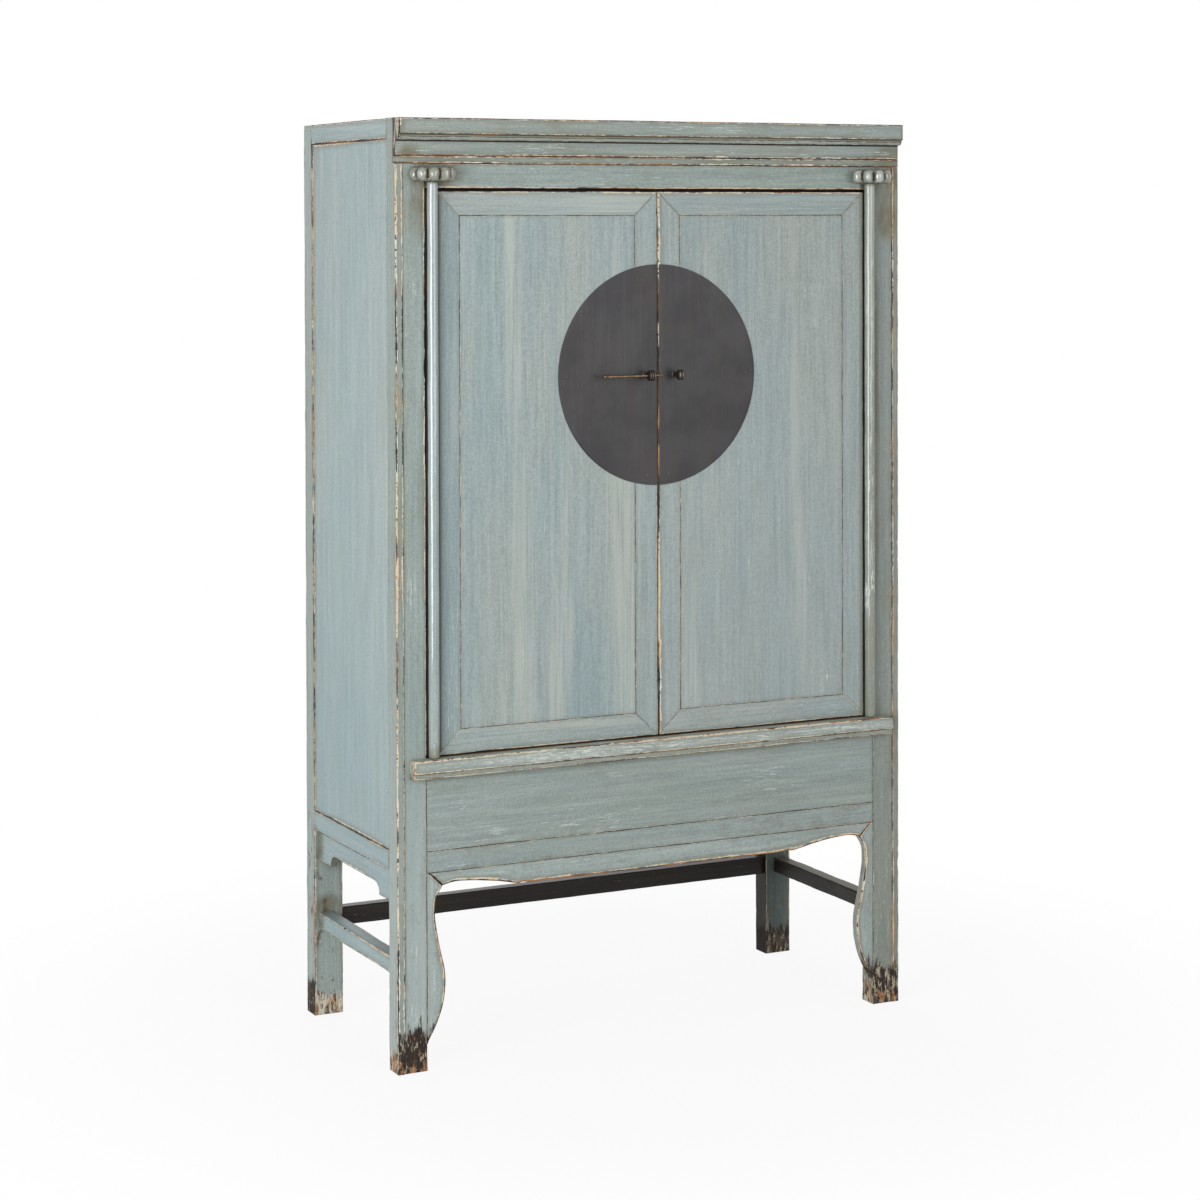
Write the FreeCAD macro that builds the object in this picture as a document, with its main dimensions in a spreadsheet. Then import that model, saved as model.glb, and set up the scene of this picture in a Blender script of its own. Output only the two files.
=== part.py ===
import FreeCAD, Part
import math
import os
import re

import Sketcher

doc = FreeCAD.newDocument("WeddingCabinet")

# Driving sizes in millimetres
driving_sizes = {
    # case: four posts that run to the floor, with a raised border on the front pair
    "case_width": 1140,
    "case_depth": 500,
    "case_height": 1850,
    "post_width": 62,
    "post_depth": 45,
    "border_width": 15,
    "border_relief": 2,
    "edge_round": 1.5,
    # joinery
    "tenon_length": 18,
    "tenon_thickness": 10,
    "tenon_shoulder": 5,
    "tongue_depth": 6,
    "tongue_thickness": 5,
    "joint_clearance": 0.2,
    # front frame, from the floor up and from the top down
    "leg_clear_height": 385,
    "lower_rail_height": 42,
    "skirt_height": 144,
    "skirt_thickness": 14,
    "waist_height": 38,
    "head_rail_height": 47.5,
    "top_border_height": 15.5,
    "frieze_height": 29.5,
    "frieze_thickness": 12,
    "cornice_height": 43,
    "cornice_projection": 20,
    "cornice_lip_height": 10,
    "cornice_lip_setback": 5,
    "top_rail_height": 40,
    # waist moulding that carries the door pivots
    "moulding_projection": 23,
    "moulding_inset": 27,
    "moulding_bead_height": 11,
    "moulding_bead_setback": 5,
    "moulding_round": 3,
    # apron and leg wings
    "apron_thickness": 18,
    "apron_drop": 40.5,
    "wing_reach": 39,
    "wing_foot": 53,
    "mitre_start": 5,
    # sides
    "side_rail_thickness": 24,
    "side_rail_lift": 3,
    "side_rail_height": 41,
    "side_panel_thickness": 10,
    "side_panel_setback": 3,
    "side_apron_thickness": 13,
    "side_apron_setback": 9,
    "side_apron_drop": 40.5,
    "side_bracket_drop": 63.5,
    "side_bracket_width": 72,
    "side_cove_radius": 22,
    # stretchers
    "stretcher_width": 31,
    "stretcher_height": 32,
    "stretcher_level": 183,
    "stretcher_setback": 9,
    "stretcher_round": 7,
    "back_stretcher_height": 38,
    "back_stretcher_level": 180,
    "back_stretcher_depth": 26,
    "back_stretcher_inset": 37,
    # back
    "back_stile_width": 60,
    "back_stile_thickness": 26,
    "back_panel_thickness": 10,
    "back_panel_setback": 8,
    # boards, shelf and cleats inside
    "board_thickness": 15,
    "thin_board_thickness": 10,
    "thin_board_recess": 8,
    "cleat_width": 20,
    "cleat_height": 22,
    # doors
    "door_thickness": 22,
    "door_setback": 3,
    "door_gap": 2.4,
    "door_side_gap": 2,
    "door_foot_gap": 3,
    "door_head_gap": 5.5,
    "door_stile_width": 50,
    "door_rail_height": 48,
    "door_panel_thickness": 14,
    "door_batten_height": 45,
    "door_stop_size": 12,
    "door_stop_gap": 2.5,
    # pivot poles and the lobed blocks above them
    "pole_radius": 10.8,
    "pole_gap": 1.8,
    "pole_notch_gap": 1.8,
    "pole_end_gap": 0.4,
    "pole_foot_round": 3,
    "pivot_forward": 7,
    "pivot_radius": 5,
    "pivot_length": 17,
    "pivot_clearance": 0.08,
    "bead_ring_radius": 35.5,
    "bead_radius": 11.5,
    "bead_round": 6,
    "bead_height": 29,
    "block_top_margin": 6,
    # lock plate, lugs and sliding pin
    "plate_radius": 222.5,
    "plate_thickness": 1.5,
    "nail_radius": 2.2,
    "nail_height": 1.2,
    "nail_inset": 20,
    "lug_radius": 11,
    "lug_width": 14,
    "lug_stem_radius": 3.5,
    "lug_stem_seat": 4,
    "lug_base_radius": 7,
    "lug_base_height": 2.5,
    "left_lug_offset": 29,
    "right_lug_offset": 37,
    "pin_standoff": 26.5,
    "pin_radius": 2.6,
    "pin_clearance": 0.08,
    "pin_length": 134,
    "pin_ball_radius": 4.2,
    "pin_tail_length": 27,
    "pin_tail_radius": 1.7,
    "pin_tip_gap": 1.5,
}

# Shares chosen by eye on the real outlines
wing_edge_shares = [(0.846, 0.919), (0.52, 0.85), (0.456, 0.771), (0.64, 0.6), (1.0, 0.38),
                    (0.8, 0.195), (0.338, 0.066), (0, 0)]
apron_edge_shares = [(0.118, 0.543), (0.173, 0.568), (0.28, 0.741), (0.388, 1.0)]
apron_notch_shares = [(0.4, 0.93), (0.45, 1.0)]
nail_angle_shares = [0.038, 0.5, 0.962]
batten_level_shares = [0.22, 0.78]
left_bead_shares = [-0.5, -0.3, -0.1, 0.1, 0.3, 0.5]
right_bead_shares = [-0.4, -0.2, 0, 0.2, 0.4]
pin_ball_shares = [(0, 0), (0.146, 0.707), (0.5, 1)]
cornice_cove_share = 0.7
pin_neck_share = 0.9
shelf_height_share = 0.49
lock_height_share = 0.6636

sizes = doc.addObject("Spreadsheet::Sheet", "Sizes")
for row, (alias, number) in enumerate(driving_sizes.items(), 1):
    sizes.set(f"A{row}", alias)
    sizes.set(f"B{row}", str(number))
    sizes.setAlias(f"B{row}", alias)
doc.recompute()

# Named heights and places, as formulas over the sheet's names
half_width = "(case_width / 2)"
front_reach = "(pivot_forward + bead_ring_radius + bead_radius)"
inner_span = "(case_width - 2 * post_width)"
side_span = "(case_depth - 2 * post_depth)"
rail_depth = "(post_depth - border_relief)"
cornice_foot = "(case_height - cornice_height)"
frieze_foot = f"({cornice_foot} - frieze_height)"
border_foot = f"({frieze_foot} - top_border_height)"
head_foot = f"({border_foot} - head_rail_height)"
top_rail_foot = "(case_height - top_rail_height)"
lower_rail_top = "(leg_clear_height + lower_rail_height)"
side_rail_foot = "(leg_clear_height + side_rail_lift)"
side_rail_top = f"({side_rail_foot} + side_rail_height)"
waist_foot = f"({lower_rail_top} + skirt_height)"
waist_top = f"({waist_foot} + waist_height)"
door_foot = f"({waist_top} + door_foot_gap)"
door_head = f"({head_foot} - door_head_gap)"
door_height = f"({door_head} - {door_foot})"
door_front = "door_setback"
door_back = "(door_setback + door_thickness)"
pole_inset = "(post_width + pole_gap + pole_radius)"
hinge_edge = "(post_width + door_side_gap)"
hinge_face = f"({pole_inset} + pole_radius)"
hinge_line = f"({hinge_face} + door_stile_width)"
meeting_edge = f"({half_width} - door_gap / 2)"
meeting_line = f"({meeting_edge} - door_stile_width)"
door_low_line = f"({door_foot} + door_rail_height)"
door_high_line = f"({door_head} - door_rail_height)"
block_top = f"({border_foot} - block_top_margin)"
block_foot = f"({block_top} - bead_height)"
plate_front = "(door_setback - plate_thickness)"
pin_depth = f"({plate_front} - pin_standoff)"
lock_level = f"({door_foot} + {door_height} * {lock_height_share})"
shelf_level = f"({waist_top} + ({head_foot} - {waist_top}) * {shelf_height_share})"

pockets = {}
subparts = []


def over_sheet(formula):
    """Writes a formula of plain names as an expression over the sheet."""
    return re.sub(r"[a-z][a-z_]+", r"Sizes.\g<0>", formula)


def value(formula):
    """The number that a formula gives at the present sizes."""
    return float(sizes.evalExpression(formula))


def bind(thing, formulas):
    """Ties each named property of an object to its formula."""
    for name, formula in formulas.items():
        thing.setExpression(name, over_sheet(formula))


def across(inset):
    """X of a place that lies this far in from the left side."""
    return f"({inset}) - {half_width}"


def behind(depth):
    """Y of a place that lies this far behind the front of the posts."""
    return f"({depth}) - (case_depth - {front_reach}) / 2"


def place(thing, x, y, z):
    """Ties an object's position to formulas for its place in the cabinet."""
    bind(thing, {"Placement.Base.x": x, "Placement.Base.y": y, "Placement.Base.z": z})


def block(inset, depth, level, length, width, height):
    """A box given by its low corner and its sizes, all as formulas."""
    return {"x": across(inset), "y": behind(depth), "z": level,
            "Length": length, "Width": width, "Height": height}


def box(name, shape):
    """A Part box tied to a block's formulas."""
    solid = doc.addObject("Part::Box", name)
    bind(solid, {side: shape[side] for side in ("Length", "Width", "Height")})
    place(solid, shape["x"], shape["y"], shape["z"])
    return solid


def grown(shape, side_names="xyz", by="joint_clearance"):
    """The block, larger by the given amount on both faces along the named axes."""
    larger = dict(shape)
    for axis, size in zip("xyz", ("Length", "Width", "Height")):
        if axis in side_names:
            larger[axis] = f"({shape[axis]}) - ({by})"
            larger[size] = f"({shape[size]}) + 2 * ({by})"
    return larger


def cut_from(targets, tool):
    """Notes a tool that is cut from each target when the target is finished."""
    for target in targets:
        pockets.setdefault(target, []).append(tool)


def let_in(name, shape, targets):
    """Cuts room for a block, with the joint clearance, from each target."""
    cut_from(targets, box(f"{name}_room", grown(shape)))


def joined(name, solids):
    """One solid fused from several."""
    union = doc.addObject("Part::MultiFuse", name)
    union.Shapes = solids
    union.Refine = True
    return union


def grouped(name, solids):
    """Several separate solids of one kind as one sub-part."""
    group = doc.addObject("Part::Compound", name)
    group.Links = solids
    return group


def finish(label, solid):
    """Cuts what is noted for a sub-part, names it and lists it for output."""
    tools = pockets.get(label, [])
    if tools:
        tool = tools[0] if len(tools) == 1 else joined(f"{label}_rooms", tools)
        cut = doc.addObject("Part::Cut", f"{label}_cut")
        cut.Base = solid
        cut.Tool = tool
        cut.Refine = True
        solid = cut
    solid.Label = label
    subparts.append(solid)
    return solid


def mirrored(label, source):
    """The same piece on the other side of the cabinet's middle plane."""
    mirror = doc.addObject("Part::Mirroring", label)
    mirror.Source = source
    mirror.Normal = FreeCAD.Vector(1, 0, 0)
    mirror.Label = label
    subparts.append(mirror)
    return mirror


def sketch_on(body, name, role):
    """An empty sketch on one of the body's own origin planes."""
    sketch = body.newObject("Sketcher::SketchObject", name)
    plane = next(part for part in body.Origin.OriginFeatures if part.Role == role)
    sketch.AttachmentSupport = (plane, [""])
    sketch.MapMode = "FlatFace"
    return sketch


def outline(sketch, corners):
    """Draws a closed run of lines and ties each corner to its two formulas."""
    points = [FreeCAD.Vector(value(u), value(v), 0) for u, v in corners]
    for start, end in zip(points, points[1:] + points[:1]):
        sketch.addGeometry(Part.LineSegment(start, end))
    for index in range(len(points)):
        sketch.addConstraint(Sketcher.Constraint("Coincident", index, 2, (index + 1) % len(points), 1))
    for index, (point, formulas) in enumerate(zip(points, corners)):
        for kind, number, formula in zip(("DistanceX", "DistanceY"), (point.x, point.y), formulas):
            name = f"{kind}{index}"
            made = sketch.addConstraint(Sketcher.Constraint(kind, -1, 1, index, 1, number))
            sketch.renameConstraint(made, name)
            sketch.setExpression(f"Constraints.{name}", over_sheet(formula))


def padded(body, sketch, length):
    """Pads a sketch by a formula."""
    pad = body.newObject("PartDesign::Pad", f"{body.Name}_pad")
    pad.Profile = sketch
    bind(pad, {"Length": length})
    body.Tip = pad
    return pad


def rounded(body, pad, axis, corners, radius):
    """Rounds the long edges that run along the axis through the given outline corners."""
    doc.recompute()
    wanted = [(value(u), value(v)) for u, v in corners]
    names = []
    for index, edge in enumerate(pad.Shape.Edges, 1):
        start, end = (vertex.Point for vertex in edge.Vertexes)
        spots = {"x": (start.y, start.z), "y": (start.x, start.z), "z": (start.x, start.y)}
        long = abs((end - start)[" xyz".index(axis) - 1]) > (end - start).Length / 2
        if long and any(math.dist(spots[axis], spot) < value("joint_clearance") for spot in wanted):
            names.append(f"Edge{index}")
    fillet = body.newObject("PartDesign::Fillet", f"{body.Name}_round")
    fillet.Base = (pad, names)
    bind(fillet, {"Radius": radius})
    body.Tip = fillet
    return fillet


def prism(name, axis, corners, length, x="0", y="0", z="0", soft=(), radius="edge_round"):
    """A body padded along an axis from an outline, with the soft corners rounded."""
    role = {"x": "YZ_Plane", "y": "XZ_Plane", "z": "XY_Plane"}[axis]
    body = doc.addObject("PartDesign::Body", name)
    sketch = sketch_on(body, f"{name}_outline", role)
    outline(sketch, corners)
    pad = padded(body, sketch, length)
    place(body, x, y, z)
    if soft:
        rounded(body, pad, axis, [corners[index] for index in soft], radius)
    return body


def revolved(name, axis, profile, x, y, z):
    """A body turned about an axis from (distance along, radius) formulas."""
    role, turn = {"z": ("XZ_Plane", "V_Axis"), "x": ("XZ_Plane", "H_Axis"),
                  "y": ("XY_Plane", "V_Axis")}[axis]
    body = doc.addObject("PartDesign::Body", name)
    sketch = sketch_on(body, f"{name}_profile", role)
    outline(sketch, [(along, radius) if axis == "x" else (radius, along) for along, radius in profile])
    turned = body.newObject("PartDesign::Revolution", f"{name}_turned")
    turned.Profile = sketch
    turned.ReferenceAxis = (sketch, [turn])
    turned.Angle = 360
    body.Tip = turned
    place(body, x, y, z)
    return body


def curved_plate(name, axis, edges, length, x, y, z):
    """A body padded from straight runs and smooth curves through points, head to tail."""
    role = {"x": "YZ_Plane", "y": "XZ_Plane", "z": "XY_Plane"}[axis]
    body = doc.addObject("PartDesign::Body", name)
    sketch = sketch_on(body, f"{name}_outline", role)
    for kind, points in edges:
        spots = [FreeCAD.Vector(u, v, 0) for u, v in points]
        if kind == "curve":
            curve = Part.BSplineCurve()
            curve.interpolate(spots)
            sketch.addGeometry(curve)
        elif kind == "arc":
            sketch.addGeometry(Part.ArcOfCircle(Part.Circle(spots[0], FreeCAD.Vector(0, 0, 1), points[1][0]),
                                                *points[2]))
        else:
            for start, end in zip(spots, spots[1:]):
                sketch.addGeometry(Part.LineSegment(start, end))
    padded(body, sketch, length)
    place(body, x, y, z)
    return body


# Joined rails

def tenon_block(shape, along):
    """The tenon that runs through a rail and out of both ends."""
    thin = "x" if along == "y" else "y"
    core = grown(shape, along, "tenon_length")
    if along == "z":
        core = grown(core, "x", "-tenon_shoulder")
    else:
        core = grown(core, "z", "-tenon_shoulder")
    size = {"x": "Length", "y": "Width"}[thin]
    core[thin] = f"({shape[thin]}) + (({shape[size]}) - tenon_thickness) / 2"
    core[size] = "tenon_thickness"
    return core


def rail(label, shape, along, ends):
    """A rail with a tenon at each end, let into the pieces that hold it."""
    core = tenon_block(shape, along)
    let_in(label, core, ends)
    solid = joined(f"{label}_timber", [box(f"{label}_body", shape), box(f"{label}_tenons", core)])
    return solid


def tongued_panel(label, shape, along, frame, set_back):
    """A flush panel with a thin tongue let into its frame all round."""
    tongue = grown(shape, "xyz".replace(along, ""), "tongue_depth")
    size = {"x": "Length", "y": "Width"}[along]
    tongue[along] = f"({shape[along]}) + {set_back}"
    tongue[size] = "tongue_thickness"
    let_in(label, tongue, frame)
    return joined(f"{label}_timber", [box(f"{label}_face", shape), box(f"{label}_tongue", tongue)])


def floating_panel(label, shape, plane, frame):
    """A plain panel whose edges sit in grooves of its frame."""
    held = grown(shape, plane, "tongue_depth")
    let_in(label, held, frame)
    return box(label, held)


left_posts = ["front_left_post", "back_left_post"]
front_posts = ["front_left_post", "front_right_post"]
back_posts = ["back_left_post", "back_right_post"]

# Front frame between the front posts
front_rail_names = {
    "head_rail": (head_foot, "head_rail_height"),
    "waist_rail": (waist_foot, "waist_height"),
    "lower_front_rail": ("leg_clear_height", "lower_rail_height"),
}
front_rails = {}
for label, (level, height) in front_rail_names.items():
    shape = block("post_width", "border_relief", level, inner_span, rail_depth, height)
    front_rails[label] = rail(label, shape, "x", front_posts)
top_front_shape = block("post_width", "frieze_thickness", top_rail_foot, inner_span,
                        "post_depth - frieze_thickness", "top_rail_height")
front_rails["top_front_rail"] = rail("top_front_rail", top_front_shape, "x", front_posts)

# Each pole stands in a notch of the head rail between the door and the block
notch_width = "(pole_gap + 2 * pole_radius + pole_notch_gap)"
notch_depth = "(pole_radius + pole_notch_gap - pivot_forward - border_relief)"
notch_shape = block("post_width", "border_relief", head_foot, notch_width, notch_depth,
                    f"{block_foot} - {head_foot}")
left_notch = box("left_pole_notch", notch_shape)
right_notch = box("right_pole_notch", {**notch_shape, "x": f"{half_width} - post_width - {notch_width}"})
cut_from(["head_rail"], left_notch)
cut_from(["head_rail"], right_notch)

skirt_shape = block("post_width", "border_relief", lower_rail_top, inner_span, "skirt_thickness",
                    "skirt_height")
skirt = tongued_panel("skirt_panel", skirt_shape, "y",
                      front_posts + ["waist_rail", "lower_front_rail"], "tongue_thickness")

# Back frame
back_rails = {}
for label, level, height in (("back_top_rail", top_rail_foot, "top_rail_height"),
                             ("back_lower_rail", "leg_clear_height", "lower_rail_height")):
    shape = block("post_width", "case_depth - post_depth", level, inner_span, "post_depth", height)
    back_rails[label] = rail(label, shape, "x", back_posts)
back_stretcher_shape = block("post_width", "case_depth - back_stretcher_inset", "back_stretcher_level",
                             inner_span, "back_stretcher_depth", "back_stretcher_height")
back_rails["back_stretcher"] = rail("back_stretcher", back_stretcher_shape, "x", back_posts)
back_height = f"({top_rail_foot} - {lower_rail_top})"
back_stile_inset = f"({half_width} - back_stile_width / 2)"
back_stile_shape = block(back_stile_inset, "case_depth - back_stile_thickness", lower_rail_top,
                         "back_stile_width", "back_stile_thickness", back_height)
back_stile = rail("back_stile", back_stile_shape, "z", ["back_top_rail", "back_lower_rail"])
back_panel_width = f"({back_stile_inset} - post_width)"
back_panel_shape = block("post_width", "case_depth - back_panel_setback - back_panel_thickness",
                         lower_rail_top, back_panel_width, "back_panel_thickness", back_height)
back_panel_shape_right = {**back_panel_shape, "x": "back_stile_width / 2"}
back_frame = ["back_top_rail", "back_lower_rail", "back_stile"]
left_back_panel = floating_panel("back_left_panel", back_panel_shape, "xz", back_frame + ["back_left_post"])
right_back_panel = floating_panel("back_right_panel", back_panel_shape_right, "xz",
                                  back_frame + ["back_right_post"])

# Left side: rails, panel and stretcher between the two left posts
side_rails = {}
for label, level, height in (("left_top_rail", top_rail_foot, "top_rail_height"),
                             ("left_lower_rail", side_rail_foot, "side_rail_height")):
    shape = block("0", "post_depth", level, "side_rail_thickness", side_span, height)
    side_rails[label] = rail(label, shape, "y", left_posts)
side_panel_shape = block("side_panel_setback", "post_depth", side_rail_top, "side_panel_thickness",
                         side_span, f"{top_rail_foot} - {side_rail_top}")
side_panel = floating_panel("left_side_panel", side_panel_shape, "yz",
                            left_posts + ["left_top_rail", "left_lower_rail"])

stretcher_outer = "stretcher_setback"
stretcher_shape = block(stretcher_outer, "post_depth", "stretcher_level", "stretcher_width", side_span,
                        "stretcher_height")
stretcher_tenon = tenon_block(stretcher_shape, "y")
let_in("left_stretcher", stretcher_tenon, left_posts)
stretcher_corners = [("0", "0"), ("stretcher_width", "0"), ("stretcher_width", "stretcher_height"),
                     ("0", "stretcher_height")]
stretcher_bar = prism("left_stretcher_bar", "y", stretcher_corners, side_span, across(stretcher_outer),
                      behind("case_depth - post_depth"), "stretcher_level", soft=(3,),
                      radius="stretcher_round")
stretcher_ends = box("left_stretcher_tenons", stretcher_tenon)
left_stretcher = joined("left_stretcher_timber", [stretcher_bar, stretcher_ends])

# Boards let into grooves at the top and at the foot of the case
board_span = "(case_width - 2 * side_rail_thickness)"
top_board_shape = block("side_rail_thickness", "post_depth",
                        "case_height - thin_board_recess - thin_board_thickness",
                        board_span, side_span, "thin_board_thickness")
all_posts = front_posts + back_posts
side_top_rails = ["left_top_rail", "right_top_rail"]
side_lower_rails = ["left_lower_rail", "right_lower_rail"]
top_board = floating_panel("top_board", top_board_shape, "xy",
                           all_posts + side_top_rails + ["top_front_rail", "back_top_rail"])
bottom_board_shape = {**top_board_shape,
                      "z": f"{lower_rail_top} - thin_board_recess - thin_board_thickness"}
bottom_board = floating_panel("bottom_board", bottom_board_shape, "xy",
                              all_posts + side_lower_rails + ["lower_front_rail", "back_lower_rail"])

# Posts
front_post_corners = [("0", "0"), ("border_width", "0"), ("border_width", "border_relief"),
                      ("post_width", "border_relief"), ("post_width", "post_depth"), ("0", "post_depth")]
front_post = prism("front_left_timber", "z", front_post_corners, "case_height",
                   across("0"), behind("0"), "0", soft=(0, 1, 5))
frieze_seat = block("0", "0", border_foot, "case_width", "frieze_thickness", f"case_height - {border_foot}")
cut_from(front_posts, box("frieze_seat", grown(frieze_seat, "x")))
back_post_corners = [("0", "0"), ("post_width", "0"), ("post_width", "post_depth"), ("0", "post_depth")]
back_post = prism("back_left_timber", "z", back_post_corners, "case_height",
                  across("0"), behind("case_depth - post_depth"), "0", soft=(0, 1, 3))
left_front = finish("front_left_post", front_post)
left_back = finish("back_left_post", back_post)
mirrored("front_right_post", left_front)
mirrored("back_right_post", left_back)

for label, solid in {**front_rails, **back_rails}.items():
    finish(label, solid)
finish("skirt_panel", skirt)
finish("back_stile", back_stile)
finish("back_panels", grouped("back_panel_pair", [left_back_panel, right_back_panel]))
finish("top_board", top_board)
finish("bottom_board", bottom_board)
for label, solid in {**side_rails, "left_side_panel": side_panel, "left_stretcher": left_stretcher}.items():
    mirrored(label.replace("left", "right"), finish(label, solid))

# Frieze, top border and cornice across the front, over the heads of the posts
border_shape = block("0", "0", border_foot, "case_width", "frieze_thickness", "top_border_height")
finish("top_border", box("top_border_strip", border_shape))
frieze_shape = block("0", "0", frieze_foot, "case_width", "frieze_thickness", f"case_height - {frieze_foot}")
finish("frieze_board", box("frieze_timber", frieze_shape))
cornice_lip = "(cornice_projection - cornice_lip_setback)"
cornice_corners = [("0", "0"), (f"-{cornice_lip} + cornice_lip_setback", "0"),
                   (f"-{cornice_lip}", f"cornice_lip_height * {cornice_cove_share}"),
                   (f"-{cornice_lip}", "cornice_lip_height"),
                   ("-cornice_projection", "cornice_lip_height + edge_round"),
                   ("-cornice_projection", "cornice_height"), ("0", "cornice_height")]
cornice = prism("cornice_moulding", "x", cornice_corners, "case_width", across("0"), behind("0"),
                cornice_foot, soft=(2, 5))
finish("cornice", cornice)

# Waist moulding, with a socket for each pole
bead_front = "(moulding_projection - moulding_bead_setback)"
moulding_corners = [("border_relief", "0"), (f"-{bead_front}", "0"),
                    (f"-{bead_front}", "moulding_bead_height"),
                    ("-moulding_projection", "moulding_bead_height"),
                    ("-moulding_projection", "waist_height"), ("border_relief", "waist_height")]
moulding = prism("waist_strip", "x", moulding_corners, "case_width - 2 * moulding_inset",
                 across("moulding_inset"), behind("0"), waist_foot, soft=(1, 4), radius="moulding_round")


def pole_hole(name, inset_formula, level, height):
    """A blind round hole on a pole's axis, a running fit for its pivot."""
    hole = doc.addObject("Part::Cylinder", name)
    bind(hole, {"Radius": "pivot_radius + pivot_clearance", "Height": height})
    place(hole, inset_formula, behind("-pivot_forward"), level)
    return hole


left_pole_x = across(pole_inset)
right_pole_x = f"{half_width} - {pole_inset}"
socket_depth = "(pivot_length + pole_end_gap)"
for side, spot in (("left", left_pole_x), ("right", right_pole_x)):
    socket = pole_hole(f"{side}_foot_socket", spot, f"{waist_top} - {socket_depth}", socket_depth)
    cut_from(["waist_moulding"], socket)
finish("waist_moulding", moulding)

# Scalloped apron and leg wings, mitred where they meet
post_line = value("post_width")
wing_reach = value("wing_reach")
wing_foot = value("wing_foot")
wing_height = value("leg_clear_height") - wing_foot
rail_foot = value("leg_clear_height")
mitre_top = (post_line + value("mitre_start"), rail_foot)
wing_edge = [(post_line + wing_reach * reach, wing_foot + wing_height * rise)
             for reach, rise in wing_edge_shares]
wing_edges = [
    ("line", [(post_line, rail_foot), mitre_top, wing_edge[0]]),
    ("curve", wing_edge),
    ("line", [wing_edge[-1], (post_line, rail_foot)]),
]
apron_back = behind("border_relief + apron_thickness")
left_wing = curved_plate("left_wing_board", "y", wing_edges, "apron_thickness", across("0"), apron_back, "0")
mirrored("right_leg_wing", finish("left_leg_wing", left_wing))

middle = value(half_width)
half_span = middle - post_line
apron_drop = value("apron_drop")


def apron_spot(share):
    """A point of the apron's lower edge, from its shares of the half span and of the drop."""
    return (post_line + half_span * share[0], rail_foot - apron_drop * share[1])


def other_side(points):
    """The same points reversed on the other half."""
    return [(2 * middle - u, v) for u, v in reversed(points)]


apron_curve = [wing_edge[0]] + [apron_spot(share) for share in apron_edge_shares]
apron_notch = [apron_curve[-1]] + [apron_spot(share) for share in apron_notch_shares]
apron_edges = [
    ("line", [mitre_top, wing_edge[0]]),
    ("curve", apron_curve),
    ("curve", apron_notch),
    ("line", [apron_notch[-1], other_side(apron_notch)[0]]),
    ("curve", other_side(apron_notch)),
    ("curve", other_side(apron_curve)),
    ("line", [other_side(apron_curve)[-1], other_side([mitre_top])[0], mitre_top]),
]
apron = curved_plate("apron_board", "y", apron_edges, "apron_thickness", across("0"), apron_back, "0")
finish("front_apron", apron)

# Side apron: a straight board with a coved bracket against each post
side_start = value("post_depth")
side_end = value("case_depth") - side_start
side_top = value(side_rail_foot)
side_foot = side_top - value("side_apron_drop")
bracket_foot = side_top - value("side_bracket_drop")
bracket = value("side_bracket_width")
cove = value("side_cove_radius")
cove_rise = side_foot - bracket_foot
cove_mid_shares = (0.12, 0.72)
cove_start = side_start + bracket
near_cove = [(cove_start, bracket_foot),
             (cove_start + cove * cove_mid_shares[0], bracket_foot + cove_rise * cove_mid_shares[1]),
             (cove_start + cove, side_foot)]
far_cove = [(side_start + side_end - u, v) for u, v in reversed(near_cove)]
side_apron_edges = [
    ("line", [(side_start, side_top), (side_start, bracket_foot), near_cove[0]]),
    ("curve", near_cove),
    ("line", [near_cove[-1], far_cove[0]]),
    ("curve", far_cove),
    ("line", [far_cove[-1], (side_end, bracket_foot), (side_end, side_top), (side_start, side_top)]),
]
side_apron = curved_plate("left_apron_board", "x", side_apron_edges, "side_apron_thickness",
                          across("side_apron_setback"), behind("0"), "0")
mirrored("right_side_apron", finish("left_side_apron", side_apron))


# Floor of the cupboard, shelf and their cleats

def notched_board(label, level):
    """A board on the side cleats that reaches back between the posts to the back panels."""
    main = block("side_panel_setback + side_panel_thickness + joint_clearance",
                 "post_depth + joint_clearance", level,
                 "case_width - 2 * (side_panel_setback + side_panel_thickness + joint_clearance)",
                 f"{side_span} - 2 * joint_clearance", "board_thickness")
    reach = "post_depth - back_stile_thickness + joint_clearance"
    tail = block("post_width + joint_clearance", "case_depth - post_depth - joint_clearance", level,
                 f"{inner_span} - 2 * joint_clearance", reach, "board_thickness")
    return finish(label, joined(f"{label}_timber", [box(f"{label}_main", main), box(f"{label}_tail", tail)]))


floor_level = f"({waist_top} - board_thickness)"
cleats = []
for label, board_level in (("floor_board", floor_level), ("shelf", shelf_level)):
    notched_board(label, board_level)
    strip = block("side_panel_setback + side_panel_thickness", "post_depth", f"{board_level} - cleat_height",
                  "cleat_width", side_span, "cleat_height")
    cleats.append(box(f"left_{label}_cleat", strip))
    other_x = f"{half_width} - side_panel_setback - side_panel_thickness - cleat_width"
    cleats.append(box(f"right_{label}_cleat", {**strip, "x": other_x}))
finish("side_cleats", grouped("cleat_strips", cleats))
stop_shape = block("post_width", f"{door_back} + door_stop_gap", f"{head_foot} - door_stop_size", inner_span,
                   "door_stop_size", "door_stop_size")
finish("door_stop", box("door_stop_strip", stop_shape))

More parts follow.
